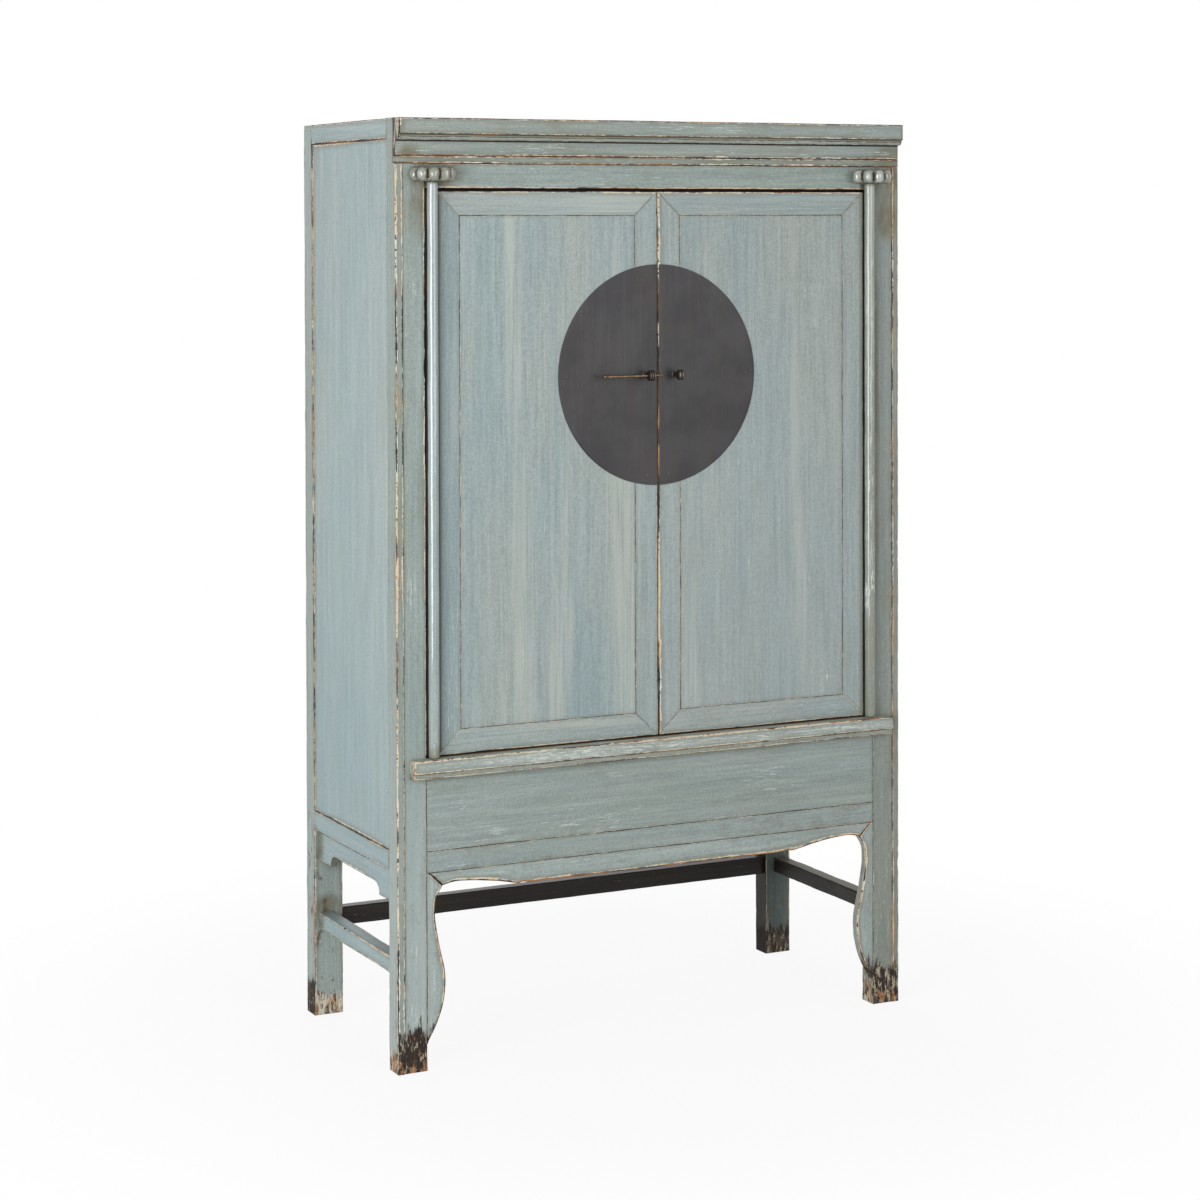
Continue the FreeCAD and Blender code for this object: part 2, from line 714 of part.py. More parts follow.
# Left door: mitred frame, flush panel with battens behind, and the pivot pole
door_body_y = behind(door_back)
frame_corners = {
    "left_door_hinge_stile": [(hinge_edge, door_foot), (hinge_face, door_foot),
                              (hinge_line, door_low_line), (hinge_line, door_high_line),
                              (hinge_face, door_head), (hinge_edge, door_head)],
    "left_door_meeting_stile": [(meeting_edge, door_foot), (meeting_edge, door_head),
                                (meeting_line, door_high_line), (meeting_line, door_low_line)],
    "left_door_top_rail": [(hinge_face, door_head), (hinge_line, door_high_line),
                           (meeting_line, door_high_line), (meeting_edge, door_head)],
    "left_door_bottom_rail": [(hinge_face, door_foot), (meeting_edge, door_foot),
                              (meeting_line, door_low_line), (hinge_line, door_low_line)],
}
panel_shape = block(hinge_line, door_front, door_low_line, f"{meeting_line} - {hinge_line}",
                    "door_panel_thickness", f"{door_high_line} - {door_low_line}")
door_panel = tongued_panel("left_door_panel", panel_shape, "y", list(frame_corners), "tongue_thickness")
for label, corners in frame_corners.items():
    member = prism(f"{label}_timber", "y", corners, "door_thickness", across("0"), door_body_y, "0")
    mirrored(label.replace("left", "right"), finish(label, member))
mirrored("right_door_panel", finish("left_door_panel", door_panel))
battens = []
for index, share in enumerate(batten_level_shares):
    level = f"{door_low_line} + ({door_high_line} - {door_low_line} - door_batten_height) * {share}"
    shape = block(hinge_line, f"{door_front} + door_panel_thickness", level,
                  f"{meeting_line} - {hinge_line}", "door_thickness - door_panel_thickness",
                  "door_batten_height")
    battens.append(box(f"door_batten_{index}", shape))
mirrored("right_door_battens", finish("left_door_battens", grouped("batten_pair", battens)))

pole_foot = f"({waist_top} + pole_end_gap)"
pole_head = f"({block_foot} - pole_end_gap)"
pole_length = f"({pole_head} - {pole_foot})"
pole_profile = [("-pivot_length", "0"), ("-pivot_length", "pivot_radius"), ("0", "pivot_radius"),
                ("0", "pole_radius - pole_foot_round"), ("pole_foot_round", "pole_radius"),
                (pole_length, "pole_radius"), (pole_length, "pivot_radius"),
                (f"{pole_length} + pivot_length", "pivot_radius"), (f"{pole_length} + pivot_length", "0")]
pole_rod = revolved("left_pole_rod", "z", pole_profile, left_pole_x, behind("-pivot_forward"), pole_foot)
flat_shape = block(f"{pole_inset} - pole_radius", door_front, door_foot, "2 * pole_radius", "pole_radius",
                   door_height)
cut_from(["left_pivot_pole"], box("pole_flat", flat_shape))
mirrored("right_pivot_pole", finish("left_pivot_pole", pole_rod))


# Lobed blocks that hold the heads of the poles

def lobed_outline(bead_shares):
    """Arcs of a row of beads round the pole's axis, with a straight side from each end bead to the post."""
    ring = value("bead_ring_radius")
    radius = value("bead_radius")
    back = value("pivot_forward + border_relief")
    centres = [(ring * math.sin(math.pi * share), -ring * math.cos(math.pi * share))
               for share in bead_shares]
    half_chord = math.dist(centres[0], centres[1]) / 2
    open_angle = math.acos(half_chord / radius)
    lean = math.pi * (bead_shares[1] - bead_shares[0]) / 2
    edges = []
    for index, (share, centre) in enumerate(zip(bead_shares, centres)):
        outward = math.pi * share - math.pi / 2
        start = outward - math.pi / 2 - lean + open_angle
        end = outward + math.pi / 2 + lean - open_angle
        if index == 0:
            start = -math.pi
        if index == len(centres) - 1:
            end = 0
        edges.append(("arc", [centre, (radius, 0), (start, end)]))
    left, right = centres[0], centres[-1]
    edges.append(("line", [(right[0] + radius, right[1]), (right[0] + radius, back),
                           (left[0] - radius, back), (left[0] - radius, left[1])]))
    return edges


def pivot_block(label, spot, bead_shares):
    """A carved row of plump beads, flat on the post and bored from below for the head of the pole."""
    lobes = curved_plate(f"{label}_lobes", "z", lobed_outline(bead_shares), "bead_height", spot,
                         behind("-pivot_forward"), block_foot)
    rim = "(bead_ring_radius + bead_radius)"
    profile = [("0", "0"), ("0", f"{rim} - bead_round"), ("bead_round", rim),
               ("bead_height - bead_round", rim), ("bead_height", f"{rim} - bead_round"),
               ("bead_height", "0")]
    envelope = revolved(f"{label}_envelope", "z", profile, spot, behind("-pivot_forward"), block_foot)
    rounded_lobes = doc.addObject("Part::Common", f"{label}_rounded")
    rounded_lobes.Base = lobes
    rounded_lobes.Tool = envelope
    hole = pole_hole(f"{label}_hole", spot, block_foot, "pivot_length + pole_end_gap")
    cut_from([label], hole)
    return finish(label, rounded_lobes)


pivot_block("left_pivot_block", left_pole_x, left_bead_shares)
pivot_block("right_pivot_block", right_pole_x, right_bead_shares)


# Lock: half-round plates, nails, ribbed lugs and the pin

disc = doc.addObject("Part::Cylinder", "left_plate_disc")
bind(disc, {"Radius": "plate_radius", "Height": "plate_thickness"})
disc.Placement.Rotation = FreeCAD.Rotation(FreeCAD.Vector(1, 0, 0), 90)
place(disc, "0", behind(door_front), lock_level)
beyond_edge = block(meeting_edge, plate_front, f"{lock_level} - plate_radius",
                    "plate_radius + door_gap", "plate_thickness", "2 * plate_radius")
cut_from(["left_lock_plate"], box("beyond_left_edge", beyond_edge))
mirrored("right_lock_plate", finish("left_lock_plate", disc))

nails = []
for index, share in enumerate(nail_angle_shares):
    angle = math.pi * share
    nail = doc.addObject("Part::Cylinder", f"nail_{index}")
    bind(nail, {"Radius": "nail_radius", "Height": "nail_height"})
    nail.Placement.Rotation = FreeCAD.Rotation(FreeCAD.Vector(1, 0, 0), 90)
    place(nail, f"-(plate_radius - nail_inset) * {math.sin(angle):.6f}", behind(plate_front),
          f"{lock_level} + (plate_radius - nail_inset) * {math.cos(angle):.6f}")
    nails.append(nail)
mirrored("right_plate_nails", finish("left_plate_nails", grouped("left_nail_set", nails)))


def lug(label, spot):
    """A ring on a stem that stands off the plate, bored for the pin."""
    profile = [("0", "pin_radius + pin_clearance"), ("0", "lug_radius"), ("lug_width", "lug_radius"),
               ("lug_width", "pin_radius + pin_clearance")]
    ring = revolved(f"{label}_ring", "x", profile, f"{spot} - lug_width / 2", behind(pin_depth), lock_level)
    stem_length = "(pin_standoff - lug_radius + lug_stem_seat)"
    stem_profile = [("0", "0"), ("0", "lug_base_radius"), ("lug_base_height", "lug_base_radius"),
                    ("lug_base_height", "lug_stem_radius"),
                    (stem_length, "lug_stem_radius"), (stem_length, "0")]
    flipped = [(f"-({along})", radius) for along, radius in stem_profile]
    stem = revolved(f"{label}_stem", "y", flipped, spot, behind(plate_front), lock_level)
    return finish(label, joined(f"{label}_metal", [ring, stem]))


lug("left_lock_lug", "-left_lug_offset")
lug("right_lock_lug", "right_lug_offset")

pin_profile = [(f"2 * pin_ball_radius * {along}", f"pin_ball_radius * {radius}")
               for along, radius in pin_ball_shares]
pin_neck = f"(2 * pin_ball_radius * {pin_neck_share})"
pin_shoulder = "(pin_length - pin_tail_length)"
pin_profile += [(pin_neck, "pin_radius"), (pin_shoulder, "pin_radius"), (pin_shoulder, "pin_tail_radius"),
                ("pin_length", "pin_tail_radius"), ("pin_length", "0")]
pin_start = "-door_gap / 2 - pin_tip_gap - pin_length"
pin = revolved("pin_rod", "x", pin_profile, pin_start, behind(pin_depth), lock_level)
finish("lock_pin", pin)

# Check every object, then write each sub-part
doc.recompute()
for thing in doc.Objects:
    if any(state in ("Invalid", "Error") for state in thing.State):
        raise RuntimeError(f"{thing.Label} did not rebuild: {thing.State}")
for part in subparts:
    if part.Shape.isNull() or not part.Shape.isValid() or part.Shape.Volume <= 0:
        raise RuntimeError(f"{part.Label} has no valid solid")
os.makedirs("parts", exist_ok=True)
for part in subparts:
    part.Shape.exportStep(f"parts/{part.Label}.step")
print(len(subparts), "sub-parts written")
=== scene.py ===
# A wedding cabinet in worn blue-grey paint, dressed board by board over its CAD frame.
import bpy
import math
from functools import partial
import numpy as np
from mathutils import Matrix, Vector


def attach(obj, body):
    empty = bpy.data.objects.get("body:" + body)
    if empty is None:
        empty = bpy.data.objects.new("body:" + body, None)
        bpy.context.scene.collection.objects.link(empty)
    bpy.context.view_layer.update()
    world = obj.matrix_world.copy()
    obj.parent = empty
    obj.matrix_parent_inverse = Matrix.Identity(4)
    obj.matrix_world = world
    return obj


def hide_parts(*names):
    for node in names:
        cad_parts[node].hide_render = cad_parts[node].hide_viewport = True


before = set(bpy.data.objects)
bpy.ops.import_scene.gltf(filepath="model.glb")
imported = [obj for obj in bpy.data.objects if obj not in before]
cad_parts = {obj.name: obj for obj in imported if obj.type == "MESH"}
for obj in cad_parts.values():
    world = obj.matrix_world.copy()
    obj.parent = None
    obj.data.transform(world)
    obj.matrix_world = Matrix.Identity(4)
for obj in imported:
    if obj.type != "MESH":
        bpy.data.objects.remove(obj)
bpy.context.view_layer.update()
print("frame loaded:", len(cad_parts), "nodes")

# Cabinet places in millimetres: X from the left side, Y back from the front of the posts, Z from the floor
cabinet = {"width": 1140, "depth": 500, "height": 1850, "frontToMiddle": 223}

# Board shapes

axisOrder = {"x": [2, 0, 1], "y": [0, 2, 1], "z": [0, 1, 2]}
# How uneven an edge is, how deep and long its chips are, and how the rows beside it are spaced
edgeShape = {"wave": 90, "waveShare": 0.3, "bends": (260, 310), "chipDepth": (0.6, 2.2),
             "chipLength": (3, 14), "cap": 3, "margin": 2, "marginShare": 0.42, "roundShare": 0.4,
             "unworn": 20}


def wobble(places, wave, seed, layers=4):
    # Sum of sines: each layer has half the wavelength and 0.6 of the height of the one before it
    dice = np.random.default_rng(seed)
    total = np.zeros(len(places))
    for layer in range(layers):
        length = wave * 0.5 ** layer * dice.uniform(0.8, 1.25)
        total += 0.6 ** layer * np.sin(2 * np.pi * (places / length + dice.random()))
    return total / 1.6


def chips(places, perMetre, seed):
    # Sum of bell curves at random places: depth * exp(-(distance / length)^2)
    dice = np.random.default_rng(seed)
    count = max(1, int((places[-1] - places[0]) * perMetre / 1000))
    spots = dice.uniform(places[0], places[-1], count)
    depths = dice.uniform(*edgeShape["chipDepth"], count)
    lengths = dice.uniform(*edgeShape["chipLength"], count)
    return (depths * np.exp(-((places[:, None] - spots) / lengths) ** 2)).sum(1)


def smoothThrough(knots, values, at):
    # Cubic between neighbours, with the slope at each knot taken from the knots on both sides of it
    slopes = np.gradient(values, knots)
    index = np.clip(np.searchsorted(knots, at) - 1, 0, len(knots) - 2)
    span = knots[index + 1] - knots[index]
    t = np.clip((at - knots[index]) / span, 0, 1)
    fromLow = (1 + 2 * t) * (1 - t) ** 2 * values[index] + t * (1 - t) ** 2 * span * slopes[index]
    fromHigh = t ** 2 * (3 - 2 * t) * values[index + 1] + t ** 2 * (t - 1) * span * slopes[index + 1]
    return fromLow + fromHigh


def unit(vectors):
    length = np.linalg.norm(vectors, axis=-1, keepdims=True)
    return vectors / np.maximum(length, 1e-9), length[..., 0]


def turnFrom(first, second):
    return first[..., 0] * second[..., 1] - first[..., 1] * second[..., 0]


def triples(*layers):
    return np.stack(np.broadcast_arrays(*layers), axis=-1).reshape(-1, 3)


def rectangle(left, right, low, high, first=0):
    # Corners from the low left one round to the high left one, or from another that is named first
    corners = [(left, low), (right, low), (right, high), (left, high)]
    return corners[first:] + corners[:first]


def outlines(places, *corners):
    # One polygon for each place; a corner's coordinates are numbers or have one value for each place
    shape = np.empty((len(places), len(corners), 2))
    for index, (across, up) in enumerate(corners):
        shape[:, index, 0] = across
        shape[:, index, 1] = up
    return shape


def board(axis, corners, low, high, seed, softness=1.0, wear=1.0, endWear=(0.3, 0.3), stain=0.0, foot=0.0,
          chipped=6, wavy=0.25, endRound=0.8, step=8, knots=(), slant=None):
    # A polygon of corners carried along an axis. Each corner becomes a curve
    # P + a r (1-t)^2 + b r t^2, where a and b point to its neighbours and r varies along the board.
    turns = np.radians([0, 30, 60, 90])
    inset = np.concatenate(([endRound + edgeShape["cap"]], endRound * (1 - np.sin(turns))))
    advance = np.concatenate(([0], endRound * (1 - np.cos(turns))))
    inner = np.linspace(low + endRound, high - endRound, max(3, int((high - low) / step)))[1:-1]
    inner = np.sort(np.concatenate((inner, knots)))
    places = np.concatenate((low + advance, inner, (high - advance)[::-1]))
    insets = np.concatenate((inset, np.zeros(len(inner)), inset[::-1]))
    polygon = np.array(corners(places) if callable(corners) else [corners] * len(places), float)
    count = polygon.shape[1]

    def spread(values):
        values = values(places) if callable(values) else values
        return np.broadcast_to(np.array(values, float), (len(places), count))

    soft, worn, stained, footed = (spread(values) for values in (softness, wear, stain, foot))
    radii = np.empty((len(places), count))
    for index in range(count):
        dice = seed * 31 + index
        wave = edgeShape["waveShare"] * wobble(places, edgeShape["wave"], dice)
        radii[:, index] = soft[:, index] * (1 + wave)
        if worn[:, index].max() > 0:
            radii[:, index] += chips(places, chipped * worn[:, index].mean(), dice + 500)
            for way, bend in enumerate(edgeShape["bends"]):
                polygon[:, index, way] += wavy * wobble(places, bend, dice + 900 + 400 * way)
    following = np.roll(polygon, -1, axis=1)
    toPrevious, lengthBefore = unit(np.roll(polygon, 1, axis=1) - polygon)
    toNext, lengthAfter = unit(following - polygon)
    winding = np.sign(turnFrom(polygon, following).sum(1))
    bulge = np.sign(turnFrom(toNext, toPrevious)) * winding[:, None]
    flat = np.minimum(lengthBefore, lengthAfter)
    most = np.minimum(insets[:, None], 0.3 * flat.min(1, keepdims=True))
    polygon += (toPrevious + toNext) * (bulge * most)[..., None]
    radii = np.minimum(radii, edgeShape["roundShare"] * flat)
    t = np.array([0, 1 / 3, 2 / 3, 1])
    curve = (polygon[:, :, None] + toPrevious[:, :, None] * (radii[..., None] * (1 - t) ** 2)[..., None]
             + toNext[:, :, None] * (radii[..., None] * t ** 2)[..., None])
    # Seven points for each corner: a margin, four on the curve, a margin, and the middle of the next face
    reachBefore = np.minimum(radii + edgeShape["margin"], edgeShape["marginShare"] * lengthBefore)
    reachAfter = np.minimum(radii + edgeShape["margin"], edgeShape["marginShare"] * lengthAfter)
    middle = (polygon + np.roll(polygon, -1, axis=1)) / 2
    before = polygon + toPrevious * reachBefore[..., None]
    after = polygon + toNext * reachAfter[..., None]
    ring = np.concatenate((before[:, :, None], curve, after[:, :, None], middle[:, :, None]), axis=2)
    gap = np.stack([reachBefore, 0.7 * radii, 0.2 * radii, 0.2 * radii, 0.7 * radii, reachAfter,
                    lengthAfter / 2], axis=2)
    strength = np.broadcast_to(worn[:, :, None], gap.shape).copy()
    strength[:, :, 6] = (worn + np.roll(worn, -1, axis=1)) / 2
    gap = np.where(strength > 0, gap, edgeShape["unworn"])
    dark, sooty = (np.stack([np.roll(share, 1, axis=1)] * 3 + [share] * 4, axis=2)
                   for share in (stained, footed))
    size = count * 7
    ring = ring.reshape(-1, size, 2)
    gap, strength, dark, sooty = (layer.reshape(-1, size) for layer in (gap, strength, dark, sooty))
    along = np.broadcast_to(places[:, None], (len(places), size)).copy()
    capInset = np.zeros(len(places))
    capInset[0] = capInset[-1] = edgeShape["cap"]
    gapLow = along - low + np.where(places < (low + high) / 2, capInset, 0)[:, None]
    gapHigh = high - along + np.where(places > (low + high) / 2, capInset, 0)[:, None]
    nearLow = gapLow < gapHigh
    ends = np.where(nearLow, gapLow, gapHigh)
    if slant:
        start, finish = slant(ring[..., 0], ring[..., 1])
        along = start + (finish - start) * (along - low) / (high - low)
        ends = np.where(nearLow, along - start, finish - along) + capInset[:, None]
    u, v = ring[..., 0], ring[..., 1]
    points = triples(u, v, along)[:, axisOrder[axis]]
    grain = triples(along, u, v) / 1000 + np.random.default_rng(seed).uniform(0, 40, 3)
    return grid(points, len(places), size, grain, triples(gap / 1000, strength, dark),
                triples(ends / 1000, np.where(nearLow, *endWear), sooty))


def grid(points, stations, size, grain, edges, ends):
    # Quads between each two neighbouring rings, with one face across each end
    row = np.arange(stations - 1)[:, None] * size
    column = np.arange(size)[None]
    following = (column + 1) % size
    quads = np.stack([row + column, row + following, row + size + following, row + size + column], axis=-1)
    lids = [np.arange(size)[::-1], np.arange(size) + (stations - 1) * size]
    part = {"points": points, "quads": quads.reshape(-1, 4), "lids": lids, "grain": grain, "edges": edges,
            "ends": ends}
    if volume(part) < 0:
        turnOver(part)
    return part


def volume(part):
    # Sum of the signed tetrahedra from the middle to each triangle
    total = 0
    points = part["points"] - part["points"].mean(0)
    for a, b, c in ((0, 1, 2), (0, 2, 3)):
        corners = [points[part["quads"][:, index]] for index in (a, b, c)]
        total += np.sum(corners[0] * np.cross(corners[1], corners[2]))
    for lid in part["lids"]:
        total += np.sum(points[lid[0]] * np.cross(points[lid[1:-1]], points[lid[2:]]))
    return total


def turnOver(part):
    part["quads"] = part["quads"][:, ::-1]
    part["lids"] = [lid[::-1] for lid in part["lids"]]


def mirrored(part):
    # The same shape on the other side of the cabinet's middle plane
    part = dict(part)
    part["points"] = part["points"] * [-1, 1, 1] + [cabinet["width"], 0, 0]
    turnOver(part)
    return part


def turned(axis, centre, profile, seed, around, wear=0.0, uneven=0.0):
    # A profile of (distance along, radius) swept round an axis: centre + along + radius (cos a, sin a)
    profile = np.array(profile, float)
    angle = np.linspace(0, 2 * np.pi, around, endpoint=False)
    radius = np.broadcast_to(profile[:, 1:2], (len(profile), around)).copy()
    if uneven:
        for index, lobe in enumerate((1, np.cos(angle), np.sin(angle), np.cos(3 * angle))):
            radius += uneven * wobble(profile[:, 0], 170, seed + index, 3)[:, None] * lobe
    u, v = radius * np.cos(angle), radius * np.sin(angle)
    along = np.broadcast_to(profile[:, :1], u.shape)
    points = triples(u, v, along)[:, axisOrder[axis]] + centre
    grain = triples(along, u, v) / 1000 + np.random.default_rng(seed).uniform(0, 40, 3)
    fromEnd = np.minimum(along - profile[0, 0], profile[-1, 0] - along)
    return grid(points, len(profile), around, grain, triples(np.full(u.shape, 0.02), wear, 0.0),
                triples(fromEnd / 1000 + 0.001, wear, 0.0))


def piece(name, parts, finish, body, node):
    # Joins the parts into one mesh at the origin, in metres, with its wear and grain kept as attributes
    faces, offset = [], 0
    for part in parts:
        faces += [face + offset for face in (*part["quads"], *part["lids"])]
        offset += len(part["points"])
    points = np.concatenate([part["points"] for part in parts])
    points = (points - [cabinet["width"] / 2, cabinet["frontToMiddle"], 0]) / 1000
    mesh = bpy.data.meshes.new(name)
    mesh.from_pydata(points, [], faces)
    for layer in ("grain", "edges", "ends"):
        values = np.concatenate([part[layer] for part in parts])
        attribute = mesh.attributes.new(layer, "FLOAT_VECTOR", "POINT")
        attribute.data.foreach_set("vector", values.astype(np.float32).reshape(-1))
    mesh.validate()
    mesh.polygons.foreach_set("use_smooth", np.ones(len(mesh.polygons), bool))
    mesh.materials.append(finishes[finish])
    thing = bpy.data.objects.new(name, mesh)
    bpy.context.scene.collection.objects.link(thing)
    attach(thing, body)
    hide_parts(node)


def member(name, finish, axis, corners, low, high, seed, node=None, ending="painted", **shape):
    # One fixed board, with the node that it replaces where that has another name
    made = board(axis, corners, low, high, seed, **shape)
    piece(f"{name}_{ending}", [made], finish, "cabinet", node or name)


# Finishes

def paint255(red, green, blue):
    # Screen colour to linear light
    values = np.array([red, green, blue]) / 255
    linear = np.where(values <= 0.04045, values / 12.92, ((values + 0.055) / 1.055) ** 2.4)
    return (*linear.tolist(), 1.0)


def addNode(tree, kind, inputs=None, **settings):
    made = tree.nodes.new(f"ShaderNode{kind}")
    for key, setting in settings.items():
        setattr(made, key, setting)
    for key, source in (inputs or {}).items():
        socket = made.inputs[key]
        if isinstance(source, bpy.types.NodeSocket):
            tree.links.new(source, socket)
        else:
            socket.default_value = source
    return made


def newFinish(name):
    finish = bpy.data.materials.new(name)
    finish.use_nodes = True
    finish.node_tree.nodes.clear()
    return finish, finish.node_tree


def closeFinish(finish, tree, inputs, strength, distance, height):
    # A bumped shader on the output
    bump = addNode(tree, "Bump", {"Strength": strength, "Distance": distance, "Height": height})
    shader = addNode(tree, "BsdfPrincipled", {**inputs, "Normal": bump.outputs[0]})
    addNode(tree, "OutputMaterial", {"Surface": shader.outputs[0]})
    return finish


def maths(tree, operation, first, second=0.0, third=0.0, clamp=False):
    return addNode(tree, "Math", {0: first, 1: second, 2: third}, operation=operation,
                   use_clamp=clamp).outputs[0]


def between(tree, source, low, high, outLow=0.0, outHigh=1.0):
    limits = {"Value": source, "From Min": low, "From Max": high, "To Min": outLow, "To Max": outHigh}
    return addNode(tree, "MapRange", limits, interpolation_type="SMOOTHSTEP").outputs[0]


def mixed(tree, share, first, second, blend="MIX"):
    # Sockets 6 and 7 are the two colours
    return addNode(tree, "Mix", {0: share, 6: first, 7: second}, data_type="RGBA",
                   blend_type=blend).outputs[2]


def stretched(tree, source, scale, offset=(0, 0, 0)):
    inputs = {"Vector": source, "Location": offset, "Scale": scale}
    return addNode(tree, "Mapping", inputs).outputs[0]


def cloud(tree, source, scale=1.0, detail=3.0, roughness=0.55, distortion=0.0):
    inputs = {"Vector": source, "Scale": scale, "Detail": detail, "Roughness": roughness,
              "Distortion": distortion}
    return addNode(tree, "TexNoise", inputs).outputs["Fac"]


wearTones = {name: paint255(*tone) for name, tone in {
    "cool": (132, 152, 155), "drip": (184, 187, 177), "olive": (124, 124, 104), "smudgeAndShadow": (108, 103, 80),
    "scuff": (214, 220, 215), "grime": (114, 112, 96), "cream": (212, 203, 180), "chalk": (228, 227, 219),
    "tan": (214, 184, 146), "brown": (96, 68, 48), "darkWood": (52, 43, 37), "joint": (70, 62, 50),
    "soot": (44, 36, 31), "scraped": (152, 106, 68), "paleFoot": (192, 181, 158), "mottle": (206, 200, 182),
    "brownMottle": (150, 112, 76), "footSpeck": (62, 50, 40), "stain": (26, 22, 20),
    "paleStain": (40, 34, 30), "nick": (120, 112, 98), "shade": (106, 102, 84), "spot": (92, 70, 48),
    "warmSpeck": (120, 98, 78)}.items()}

# tone, second tone, warm drips, scratches, edge wear, orange in it, how unbroken its dark line is, gloss,
# olive blotches, brown spots low down
paintColumns = ("tone", "other", "drips", "scuffs", "wear", "warm", "dark", "gloss", "olive", "spots")
paintKinds = {
    "posts": ((146, 159, 157), (139, 151, 146), 0.3, 0.7, 1.2, 0.85, 0.1, 0.4, 0.45, 0.2),
    # the right post is darker and more olive than the left: olive dirt, and painted shade where the light
    # falls off to the right
    "rightPost": ((139, 147, 143), (132, 138, 131), 0.3, 0.4, 1.15, 0.9, 0.5, 0.4, 0.7, 0.0),
    "apron": ((160, 172, 170), (152, 163, 159), 0.3, 0.6, 1.0, 0.7, 0.85, 0.4, 0.35, 0.2),
    "rightWing": ((154, 166, 164), (146, 157, 153), 0.3, 0.9, 1.15, 0.35, 0.2, 0.4, 0.35, 0.2),
    "doors": ((145, 160, 161), (155, 164, 160), 1.15, 0.3, 1.0, 0.3, 0.3, 0.38, 0.2, 0.0),
    "hingeStile": ((132, 151, 156), (140, 156, 158), 0.6, 0.4, 1.0, 0.3, 0.3, 0.38, 0.2, 0.0),
    "rightDoor": ((145, 158, 158), (153, 161, 157), 1.2, 0.35, 1.0, 0.35, 0.3, 0.38, 0.25, 0.0),
    "meeting": ((147, 159, 159), (154, 162, 158), 0.9, 0.3, 1.0, 1.0, 0.0, 0.38, 0.15, 0.0),
    "sides": ((154, 171, 173), (162, 175, 174), 0.35, 0.15, 1.3, 0.4, 0.7, 0.45, 0.3, 0.0),
    "backLegs": ((157, 171, 170), (150, 162, 158), 0.3, 0.3, 1.15, 0.6, 0.4, 0.45, 0.45, 1.0),
    # the back right leg's front is painted darker: painted shade from the cabinet over it
    "shadedLeg": ((83, 96, 95), (72, 82, 78), 0.2, 0.9, 1.1, 0.6, 0.4, 0.5, 0.45, 0.5),
    "skirt": ((145, 156, 154), (138, 148, 142), 0.3, 0.9, 1.0, 0.4, 0.5, 0.4, 0.6, 0.3),
    "mouldings": ((145, 155, 151), (138, 147, 138), 0.3, 1.3, 1.15, 0.4, 1.0, 0.38, 1.0, 0.0),
    "waist": ((160, 169, 164), (151, 160, 152), 0.3, 1.6, 1.2, 0.45, 0.3, 0.38, 0.5, 0.0),
    "poles": ((150, 165, 167), (136, 150, 149), 0.3, 1.0, 0.8, 0.4, 0.4, 0.3, 0.5, 0.0),
    "rightPole": ((136, 143, 133), (108, 112, 96), 1.1, 2.4, 0.8, 0.4, 0.4, 0.35, 1.1, 0.0),
    "beads": ((162, 172, 167), (118, 123, 106), 0.5, 2.2, 0.9, 0.5, 0.4, 0.24, 1.5, 0.0),
    "backs": ((129, 139, 136), (117, 125, 119), 0.3, 0.2, 0.8, 0.4, 0.5, 0.55, 0.6, 0.0),
}
